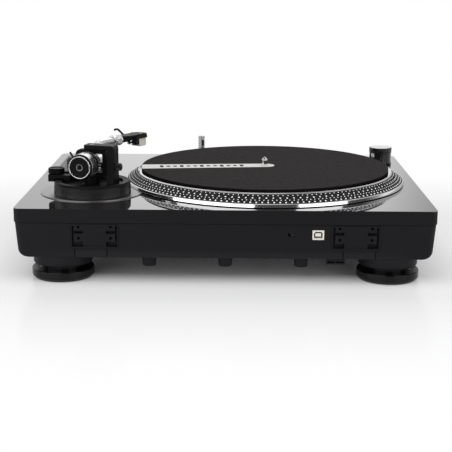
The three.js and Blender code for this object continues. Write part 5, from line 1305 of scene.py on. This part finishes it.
class PLAYER_OT_arm_base(bpy.types.Operator):
    """Escutcheon, ribbed height ring, shelf with its pillar and the antiskate dial"""

    bl_idname = "record_player.arm_base"
    bl_label = "Tonearm base"

    def execute(self, context):
        middle, radius, _, _ = round_place("arm_escutcheon")
        profile = [(0, 0.05), (radius, 0.05), (radius, 0.8), (radius - 0.4, 1.1), (0, 1.1)]
        disc = moved(turned(profile, 256), middle.x - PIVOT.x, middle.y - PIVOT.y)
        stem_hole = rod(ARM_STEM + FIT, -3, 5, 64, 0)
        clearing = moved(rod(PLATTER_RADIUS + 0.5, 0.45, 5, 320, 0), SPINDLE.x - PIVOT.x, SPINDLE.y - PIVOT.y)
        piece("escutcheon_disc", carved(disc, stem_hole, clearing), escutcheon_satin, "plinth", PIVOT_AXES,
              nodes=["arm_escutcheon"])
        self.ring()
        self.mount()
        self.dial()
        return {"FINISHED"}

    def ring(self):
        """Height ring: ribs down its side, a dished top and a bore for the pedestal."""
        sizes = settings("arm")
        radius, top = RING_RADIUS, RING_TOP
        profile = [(RING_BORE, 1.4), (radius - 0.4, 1.4), (radius, 1.8), (radius, 2.4), (radius, 2.6, 1),
                   (radius - 0.5, top - 3.0, 1), (radius - 0.5, top - 2.6), (radius - 0.7, top - 2.0),
                   (radius - 2.0, top), (radius - 3.4, top), (radius - 3.8, top - 0.4),
                   (RING_BORE + 1, top - 0.4), (RING_BORE, top - 1)]
        form = turned(profile, sizes.ribs * 5, closed=True, ribs=sizes.ribs, depth=sizes.rib_depth / MM)
        piece("height_ring_grip", form, matte_black, "ring", PIVOT_AXES, nodes=["height_ring"], crisp=50,
              sides_maker=ring_black)

    def mount(self):
        """Shelf round the ring, and the pedestal and pillar in the middle that carry it."""
        core, turn = RING_BORE - FIT, REST_AZIMUTH
        inner = core - 8
        arm = bar(inner, 53, -5.6, 5.6, SHELF_BOTTOM, SHELF_TOP, 0.6)
        shelf = sector(inner, SHELF_RADIUS, SHELF_START, SHELF_END, SHELF_BOTTOM, SHELF_TOP, 0.7)
        riser = sector(inner, core - FIT, SHELF_START, SHELF_END, MOUNT_FLOOR - 1, SHELF_BOTTOM + 1)
        lip = sector(44, SHELF_RADIUS, SHELF_START, SHELF_START - 30, SHELF_BOTTOM - 3.8, SHELF_TOP, 0.7)
        spot = centre("antiskate_dial") - PIVOT
        hole = moved(rod(SHELF_HOLE, SHELF_BOTTOM - 6, SHELF_TOP + 3, 32, 0), spot.x, spot.y)
        post = moved(moved(rod(SHELF_HOLE, SHELF_BOTTOM - 3, SHELF_TOP + 3, 32, 0), 29.5, 27), turn=turn)
        whole = carved(fused(shelf, riser, lip, moved(arm, turn=turn)), hole, post)
        piece("arm_shelf", whole, matte_black, "arm_base", PIVOT_AXES, nodes=["arm_mount"], bevel=0.25)
        profile = [(0, -14), (ARM_STEM, -14), (ARM_STEM, 1.4), (core, 1.4), (core, MOUNT_FLOOR),
                   (0, MOUNT_FLOOR)]
        piece("arm_pedestal", turned(profile, 128, soften=0.4), matte_black, "arm_base", PIVOT_AXES)
        pillar = tube(9, 3.7, MOUNT_FLOOR - 1, PILLAR_TOP, 96, 0.5)
        piece("arm_pillar", pillar, matte_black, "arm_base", PIVOT_AXES)

    def dial(self):
        spot, radius, bottom, top = round_place("antiskate_dial")
        stem, base, hollow = SHELF_HOLE - FIT, SHELF_TOP + FIT, top - 0.7
        profile = [(0, bottom), (stem, bottom), (stem, base), (radius - 0.3, base), (radius, base + 0.4, 1),
                   (radius, hollow, 1), (radius - 0.5, top), (radius - 2, top), (radius - 2.5, hollow),
                   (0, hollow)]
        cap = turned(profile, 240, soften=0.15, ribs=40, depth=0.4)
        marks = [moved(bar(radius - 1.9, radius - 0.7, -0.15, 0.15, top - 0.1, top), turn=math.pi * i / 6)
                 for i in range(12)]
        axes = placed(spot.x, spot.y, DECK)
        piece("antiskate_cap", cap, matte_black, "skate_dial", axes, nodes=["antiskate_dial"])
        piece("antiskate_marks", together(*marks), strobe_white, "skate_dial", axes)


class PLAYER_OT_cue_lift(bpy.types.Operator):
    """Cueing block, curved lifting bar and lever"""

    bl_idname = "record_player.cue_lift"
    bl_label = "Cue lift"

    def execute(self, context):
        refined("cue_block", "cue_column", matte_black, 0.4)
        refined("cue_bar", "cue_platform", matte_black, 0.3)
        refined("cue_handle", "cue_lever", black_metal, 0.25)
        return {"FINISHED"}


class PLAYER_OT_arm_rest(bpy.types.Operator):
    """Cradle beside the pivot and its swinging clip"""

    bl_idname = "record_player.arm_rest"
    bl_label = "Arm rest"

    def execute(self, context):
        refined("arm_cradle", "arm_rest", matte_black, 0.35)
        refined("cradle_clip", "rest_clip", matte_black, 0.25)
        return {"FINISHED"}


class PLAYER_OT_yoke(bpy.types.Operator):
    """Yoke over the gimbal, its upper bearing, the lock knob, the gimbal ring and pivot screws"""

    bl_idname = "record_player.yoke"
    bl_label = "Yoke and gimbal"

    def execute(self, context):
        refined("yoke_bracket", "yoke", matte_black, 0.7)
        refined("gimbal_frame", "gimbal_ring", matte_black, 0.6)
        spot, _, bottom, top = round_place("upper_bearing")
        profile = [(0, bottom), (3, bottom), (3, top), (0.9, top), (0.9, top - 0.6), (0, top - 0.6)]
        piece("upper_bearing_screw", turned(profile, 48, soften=0.25), steel, "arm_base",
              placed(spot.x, spot.y, DECK), nodes=["upper_bearing"])
        for side in ("left", "right"):
            refined("pivot_screw_" + side + "_head", "pivot_screw_" + side, steel, 0.15)
        self.lock()
        return {"FINISHED"}

    def lock(self):
        """Knurled knob on the yoke's outer face."""
        side, face, height = -4, -29, 33
        end, screw = face - 7, face + 5.4
        profile = [(0, end), (3.4, end), (4.2, end + 0.7, 1), (4.2, face - 1.6, 1), (3.7, face - 1.1),
                   (3.7, face), (1.5, face), (1.5, screw), (0, screw)]
        knob = moved(along_y(turned(profile, 192, soften=0.2, ribs=24, depth=0.5)), x=side, z=height)
        piece("lock_grip", knob, black_metal, "lock", ARM_AXES, nodes=["lock_knob"])


# ---- Tonearm -------------------------------------------------------------------------------

EFFECTIVE_LENGTH = 229.7
FIRST_LEG_ANGLE = math.radians(FIRST_LEG_TURN)
STYLUS_POINT = Vector((EFFECTIVE_LENGTH * math.cos(FIRST_LEG_ANGLE),
                       EFFECTIVE_LENGTH * math.sin(FIRST_LEG_ANGLE), 0))
SHELL_AXES = TUBE_AXES @ Matrix.Translation(STYLUS_POINT * MM) @ Matrix.Rotation(HEADSHELL_ANGLE, 4, "Z")
TUBE_END = 53.5


def tube_line(sizes, start):
    """S-shaped centre line: straight from the pivot, across, then along the headshell."""
    way = Vector((math.cos(HEADSHELL_ANGLE), math.sin(HEADSHELL_ANGLE), 0))
    corners = [Vector((start, 0, 0)), Vector((sizes.first_leg / MM, 0, 0)),
               STYLUS_POINT - way * (sizes.last_leg / MM), STYLUS_POINT - way * TUBE_END]
    line = [corners[0]]
    for i in (1, 2):
        back = (corners[i - 1] - corners[i]).normalized()
        ahead = (corners[i + 1] - corners[i]).normalized()
        reach = sizes.bend / MM / math.tan(back.angle(ahead) / 2)
        enter, leave = corners[i] + back * reach, corners[i] + ahead * reach
        line.append(line[-1].lerp(enter, 0.5))
        steps = 16
        for k in range(steps + 1):
            t = k / steps
            line.append(enter * (1 - t) ** 2 + corners[i] * (2 * t * (1 - t)) + leave * t * t)
    line.append(corners[3])
    return line


class PLAYER_OT_tonearm(bpy.types.Operator):
    """Pivot hub, S-shaped tube, rear stub and the headshell's locking collar"""

    bl_idname = "record_player.tonearm"
    bl_label = "Tonearm"

    def execute(self, context):
        sizes = settings("arm")
        wall, waist, bore, rod_bore = 7.6, 7.2, 4.9, 3.9
        profile = [(rod_bore, -7), (wall, -7), (wall, -4.6), (waist, -4.2), (waist, 4.2), (wall, 4.6),
                   (wall, 8), (bore, 8), (bore, 1), (rod_bore, 1)]
        hub = along_x(turned(profile, 96, closed=True, soften=0.35))
        piece("pivot_hub", hub, black_metal, "tonearm", TUBE_AXES, nodes=["arm_hub"])
        pipe = swept(tube_line(sizes, 1.3), sizes.tube / MM, 40)
        piece("arm_pipe", pipe, polished_tube, "tonearm", TUBE_AXES, nodes=["arm_tube"])
        shaft, start, end = 3.5, 1.3, 33
        threads = [(shaft - 0.25 * (k % 2), 6 + 0.45 * k) for k in range(58)]
        profile = [(0, start), (shaft, start), *threads, (shaft, end - 0.4), (shaft - 0.4, end), (0, end)]
        piece("rear_rod", backward(turned(profile, 48)), steel, "tonearm", TUBE_AXES, nodes=["rear_stub"],
              crisp=60)
        outer, neck = 7, 6.7
        profile = [(bore, -61), (6.4, -61), (outer, -60.4), (outer, -57.4), (neck, -57), (neck, -56.6),
                   (outer, -56.2, 1), (outer, -48.4, 1), (neck, -48), (outer, -47.6), (outer, -46.5),
                   (6.5, -46), (bore, -46)]
        nut = along_x(turned(profile, 192, closed=True, soften=0.15, ribs=32, depth=0.35))
        piece("collar_nut", nut, chrome, "collar", SHELL_AXES, nodes=["locking_collar"])
        return {"FINISHED"}


WEIGHT_RADIUS = 14.2
WEIGHT_BORE = 3.8               # clears the rear rod and its thread
WEIGHT_END = 40.2
WEIGHT_STEP = WEIGHT_END - 3.4  # where the black rear disc meets the barrel
SLEEVE_BORE = 6.5
ROD_REACH = 37.3


class PLAYER_OT_counterweight(bpy.types.Operator):
    """Counterweight with its black rear disc, tracking-force dial and threaded sleeve"""

    bl_idname = "record_player.counterweight"
    bl_label = "Counterweight"

    def execute(self, context):
        self.barrel()
        self.face()
        self.dial()
        thread = tube(6.2, WEIGHT_BORE, 16.2, 34, 64, 0.3)
        piece("weight_thread", backward(thread), steel, "weight_carrier", TUBE_AXES, nodes=["weight_sleeve"])
        return {"FINISHED"}

    def barrel(self):
        start, radius, step, hollow = 20.7, WEIGHT_RADIUS, WEIGHT_STEP, 34.3
        profile = [(SLEEVE_BORE, start), (radius - 0.6, start), (radius, start + 0.6), (radius, step - 0.3),
                   (radius - 0.3, step), (WEIGHT_BORE, step), (WEIGHT_BORE, hollow), (SLEEVE_BORE, hollow)]
        form = backward(turned(profile, 192, closed=True, soften=0.25))
        piece("weight_barrel", form, weight_silver, "weight", TUBE_AXES, nodes=["counterweight"])

    def face(self):
        """Black disc with a bright ring round it, a shallow groove and a grey boss in the middle."""
        end, radius, ring, seat = WEIGHT_END, WEIGHT_RADIUS, 12.4, WEIGHT_STEP + 0.02
        profile = [(0, ROD_REACH), (WEIGHT_BORE, ROD_REACH), (WEIGHT_BORE, seat), (radius - 0.1, seat),
                   (radius - 0.1, end - 1.8), (radius - 0.9, end - 0.7), (ring, end - 0.5),
                   (ring - 1.3, end - 0.6), (10.2, end - 0.9), (9.8, end - 0.6), (7.4, end - 0.6),
                   (7.1, end - 0.9), (0, end - 0.9)]
        disc = backward(turned(profile, 160, soften=0.15))
        piece("weight_face", disc, weight_black, "weight", TUBE_AXES)
        profile = [(ring - 1.2, end - 0.9), (ring, end - 0.9), (ring, end - 0.25), (ring - 0.4, end),
                   (ring - 0.9, end), (ring - 1.2, end - 0.2)]
        trim = backward(turned(profile, 160, closed=True, soften=0.12))
        piece("weight_trim", trim, chrome, "weight", TUBE_AXES)
        profile = [(2.7, end - 1.1), (3.9, end - 1.1), (3.9, end - 0.5), (3.6, end - 0.35), (2.7, end - 0.7)]
        boss = backward(turned(profile, 96, closed=True, soften=0.08))
        piece("weight_boss", boss, pillar_grey, "weight", TUBE_AXES)

    def dial(self):
        """Ribbed force dial in front of the weight, with forty marks round it."""
        start, end, radius = 15.2, 20.4, WEIGHT_RADIUS
        profile = [(SLEEVE_BORE, start), (radius - 0.4, start), (radius, start + 0.4, 1),
                   (radius, end - 1.2, 1), (radius - 0.2, end), (SLEEVE_BORE, end)]
        form = backward(turned(profile, 300, closed=True, soften=0.2, ribs=50, depth=0.35))
        piece("force_scale", form, weight_black, "dial", TUBE_AXES, nodes=["force_dial"])
        marks = []
        for i in range(40):
            tip = 17.3 if i % 5 else 18.6
            mark = bar(start + 0.3, tip, -0.12, 0.12, radius - 0.1, radius + 0.03)
            marks.append(moved(mark, turn=math.pi * i / 20, axis="X"))
        marks = moved(together(*marks), turn=math.pi, axis="Y")
        piece("force_marks", marks, strobe_white, "dial", TUBE_AXES)


PIN_PLACES = [(y, z) for z in (-3.54, -7.14) for y in (-3, 3)]
SCREW_SPACING = 12.7
SCREW_SETBACK = 9               # from the stylus back to the screws


class PLAYER_OT_headshell(bpy.types.Operator):
    """Headshell, finger lift, cartridge with its pins and screws, and stylus"""

    bl_idname = "record_player.headshell"
    bl_label = "Headshell"

    def execute(self, context):
        refined("headshell_body", "headshell", matte_black, 0.35)
        refined("finger_hook", "finger_lift", matte_black, 0.2, rise=0.82)
        refined("cartridge_body", "cartridge", satin_casing, 0.4)
        pins = [moved(backward(tube(1.0, 0.3, 19.3, 24.6, 24, 0.12)), y=y, z=z) for y, z in PIN_PLACES]
        piece("cartridge_pins", together(*pins), chrome, "tonearm", SHELL_AXES)
        refined("stylus_holder", "stylus", ivory, 0.35)
        profile = [(0, 4.3), (2.1, 4.3), (2.1, 5.1), (1.6, 5.5), (0.9, 5.5), (0.9, 4.9), (0, 4.9)]
        screws = [moved(turned(profile, 32, soften=0.12), -SCREW_SETBACK, y)
                  for y in (-SCREW_SPACING / 2, SCREW_SPACING / 2)]
        piece("cartridge_screws", together(*screws), steel, "tonearm", SHELL_AXES)
        return {"FINISHED"}


# ---- Stage ---------------------------------------------------------------------------------

CAMERA_PLACE = (-0.0098, 1.3204, 0.3349)
CAMERA_TURN = (76.726, -0.332, -179.475)
CAMERA_LENS = 88.49
FLOOR_SIDE, FLOOR_FRONT, FLOOR_REAR = 3.0, -8.0, 0.65
FLOOR_GAP = 0.0005              # metres between the floor and the soles
LAMP_TARGET = Vector((0, 0, 0.05))
LAMPS = (                       # name, place and size in metres, watts
    ("key_softbox", (0.5, 0.9, 1.5), (1.2, 1.2), 5.5),
    ("fill_softbox", (-1.0, 0.2, 1.2), (1.0, 1.0), 4.0),
    ("back_softbox", (0.0, -1.3, 1.4), (1.6, 1.6), 7.0),
    ("left_panel", (-1.15, 1.13, 0.3), (1.15, 0.5), 4.0),
    ("right_panel", (1.08, 1.21, 0.3), (2.2, 0.5), 7.6),
    ("left_upper_panel", (-1.15, 1.13, 0.93), (1.15, 0.35), 1.9),
    ("right_upper_panel", (1.08, 1.21, 0.93), (2.2, 0.35), 3.6),
)


class PLAYER_OT_stage(bpy.types.Operator):
    """Pale floor, white surroundings, soft lamps and the camera behind the player"""

    bl_idname = "record_player.stage"
    bl_label = "Stage"

    def execute(self, context):
        scene = context.scene
        scene.view_settings.view_transform = "Standard"
        self.floor(scene)
        self.surroundings(scene)
        for lamp in LAMPS:
            self.lamp(*lamp)
        lens = bpy.data.cameras.new("rear_camera")
        lens.lens = CAMERA_LENS
        lens.sensor_width = 36
        lens.clip_end = 60
        camera = bpy.data.objects.new("rear_camera", lens)
        camera.location = CAMERA_PLACE
        camera.rotation_euler = [math.radians(a) for a in CAMERA_TURN]
        scene.collection.objects.link(camera)
        scene.camera = camera
        return {"FINISHED"}

    def floor(self, scene):
        form = bmesh.new()
        corners = [(-FLOOR_SIDE, FLOOR_FRONT), (FLOOR_SIDE, FLOOR_FRONT), (FLOOR_SIDE, FLOOR_REAR),
                   (-FLOOR_SIDE, FLOOR_REAR)]
        form.faces.new([form.verts.new((x, y, 0)) for x, y in corners])
        mesh = bpy.data.meshes.new("studio_floor")
        form.to_mesh(mesh)
        form.free()
        mesh.materials.append(self.floor_finish())
        floor = bpy.data.objects.new("studio_floor", mesh)
        floor.location.z = -FLOOR_GAP
        scene.collection.objects.link(floor)

    def floor_finish(self):
        """Pale gloss board that fades to plain white away from the player, with white glow mixed in near the
        player as painted light that lifts its shadow.
        """
        f = Finish("studio_floor", ior=1.33)
        f.set("Base Color", (0.83, 0.83, 0.845))
        f.set("Roughness", 0.16 + f.noise(90, 2) * 0.04)
        x, y, _ = f.axes()
        half_wide, half_deep, shadow_lift_run, far_edge, far_run = 215, 130, 60, 90, 260
        beside = (x.size() - half_wide).maths("MAXIMUM", 0.0)
        beyond = (y.size() - half_deep).maths("MAXIMUM", 0.0)
        reach = (beside * beside + beyond * beyond).root()
        # Painted light: up to 0.42 of white glow, growing over this run from the footprint, lightens the floor's
        # shadow next to the player.
        near = (reach / shadow_lift_run).clipped() * 0.42
        far = (near + ((reach - far_edge) / far_run).clipped() * 0.58).clipped()
        seen, mirror = f.rays()
        white = f.node("ShaderNodeEmission", None, {"Color": (1, 1, 1), "Strength": 1.0})
        mask = far * (seen + mirror).clipped()
        shader = Value(f, f.shader.outputs[0])
        mixed = f.node("ShaderNodeMixShader", None, {0: mask, 1: shader, 2: white})
        f.tree.links.new(mixed.socket, f.tree.nodes["Material Output"].inputs["Surface"])
        return f.material

    def surroundings(self, scene):
        """Plain white to the camera, and a studio with dark stretches to everything that shines."""
        world = bpy.data.worlds.new("studio")
        world.use_nodes = True
        scene.world = world
        bench = NodeBench(world.node_tree)
        seen, mirror = bench.rays()
        way = bench.node("ShaderNodeTexCoord", output="Generated")
        x, y, z = (bench.node("ShaderNodeSeparateXYZ", None, {0: way}, output=i) for i in range(3))
        # What mirrors find: white in front of the player, darker overhead and at the two sides, dark behind.
        backdrop = (0.1 - y * 2.2).clipped()
        overhead = ((z - 0.5) * 1.6).clipped() * 0.35
        one_side = ((x * -1.0 - 0.118) * 16).clipped() * 0.5
        other_side = ((x - 0.11) * 25).clipped() * 0.22
        mirrored = backdrop * (1.0 - overhead - one_side - other_side) * 0.94 + 0.06
        diffuse = 0.38 + (y + 0.2).clipped() * 0.5
        level = seen + (1.0 - seen) * (mirror * (mirrored - diffuse) + diffuse)
        back = world.node_tree.nodes["Background"]
        back.inputs["Color"].default_value = (1, 1, 1, 1)
        bench.feed(back.inputs["Strength"], level)

    def lamp(self, name, place, size, power):
        light = bpy.data.lights.new(name, "AREA")
        light.shape = "RECTANGLE"
        light.size, light.size_y = size
        light.energy = power
        thing = bpy.data.objects.new(name, light)
        thing.visible_camera = False
        thing.location = place
        thing.rotation_euler = (LAMP_TARGET - Vector(place)).to_track_quat("-Z", "Y").to_euler()
        bpy.context.scene.collection.objects.link(thing)


# ---- Panel and registration ----------------------------------------------------------------

OPERATORS = (
    PLAYER_OT_stage,
    PLAYER_OT_cover,
    PLAYER_OT_casing,
    PLAYER_OT_feet,
    PLAYER_OT_hinge_sockets,
    PLAYER_OT_rear_connectors,
    PLAYER_OT_bay_connectors,
    PLAYER_OT_insides,
    PLAYER_OT_platter,
    PLAYER_OT_slipmat,
    PLAYER_OT_spindle,
    PLAYER_OT_controls,
    PLAYER_OT_strobe_tower,
    PLAYER_OT_stylus_light,
    PLAYER_OT_arm_base,
    PLAYER_OT_cue_lift,
    PLAYER_OT_arm_rest,
    PLAYER_OT_yoke,
    PLAYER_OT_tonearm,
    PLAYER_OT_counterweight,
    PLAYER_OT_headshell,
)


class PLAYER_PT_panel(bpy.types.Panel):
    """The record player's sizes, colours and building steps"""

    bl_idname = "PLAYER_PT_panel"
    bl_label = "Record player"
    bl_space_type = "VIEW_3D"
    bl_region_type = "UI"
    bl_category = "Record player"

    def draw(self, context):
        for kind, group in SETTINGS.items():
            box = self.layout.box()
            box.label(text=kind.capitalize())
            for name in group.__annotations__:
                box.prop(settings(kind), name)
        for operator in OPERATORS:
            self.layout.operator(operator.bl_idname)


def register():
    for kind, group in SETTINGS.items():
        bpy.utils.register_class(group)
        setattr(bpy.types.Scene, "record_player_" + kind, PointerProperty(type=group))
    for kind in (*OPERATORS, PLAYER_PT_panel):
        bpy.utils.register_class(kind)


def unregister():
    for kind in (PLAYER_PT_panel, *reversed(OPERATORS)):
        bpy.utils.unregister_class(kind)
    for kind, group in SETTINGS.items():
        delattr(bpy.types.Scene, "record_player_" + kind)
        bpy.utils.unregister_class(group)


def main():
    register()
    for operator in OPERATORS:
        group, name = operator.bl_idname.split(".")
        getattr(getattr(bpy.ops, group), name)()


if __name__ == "__main__":
    main()
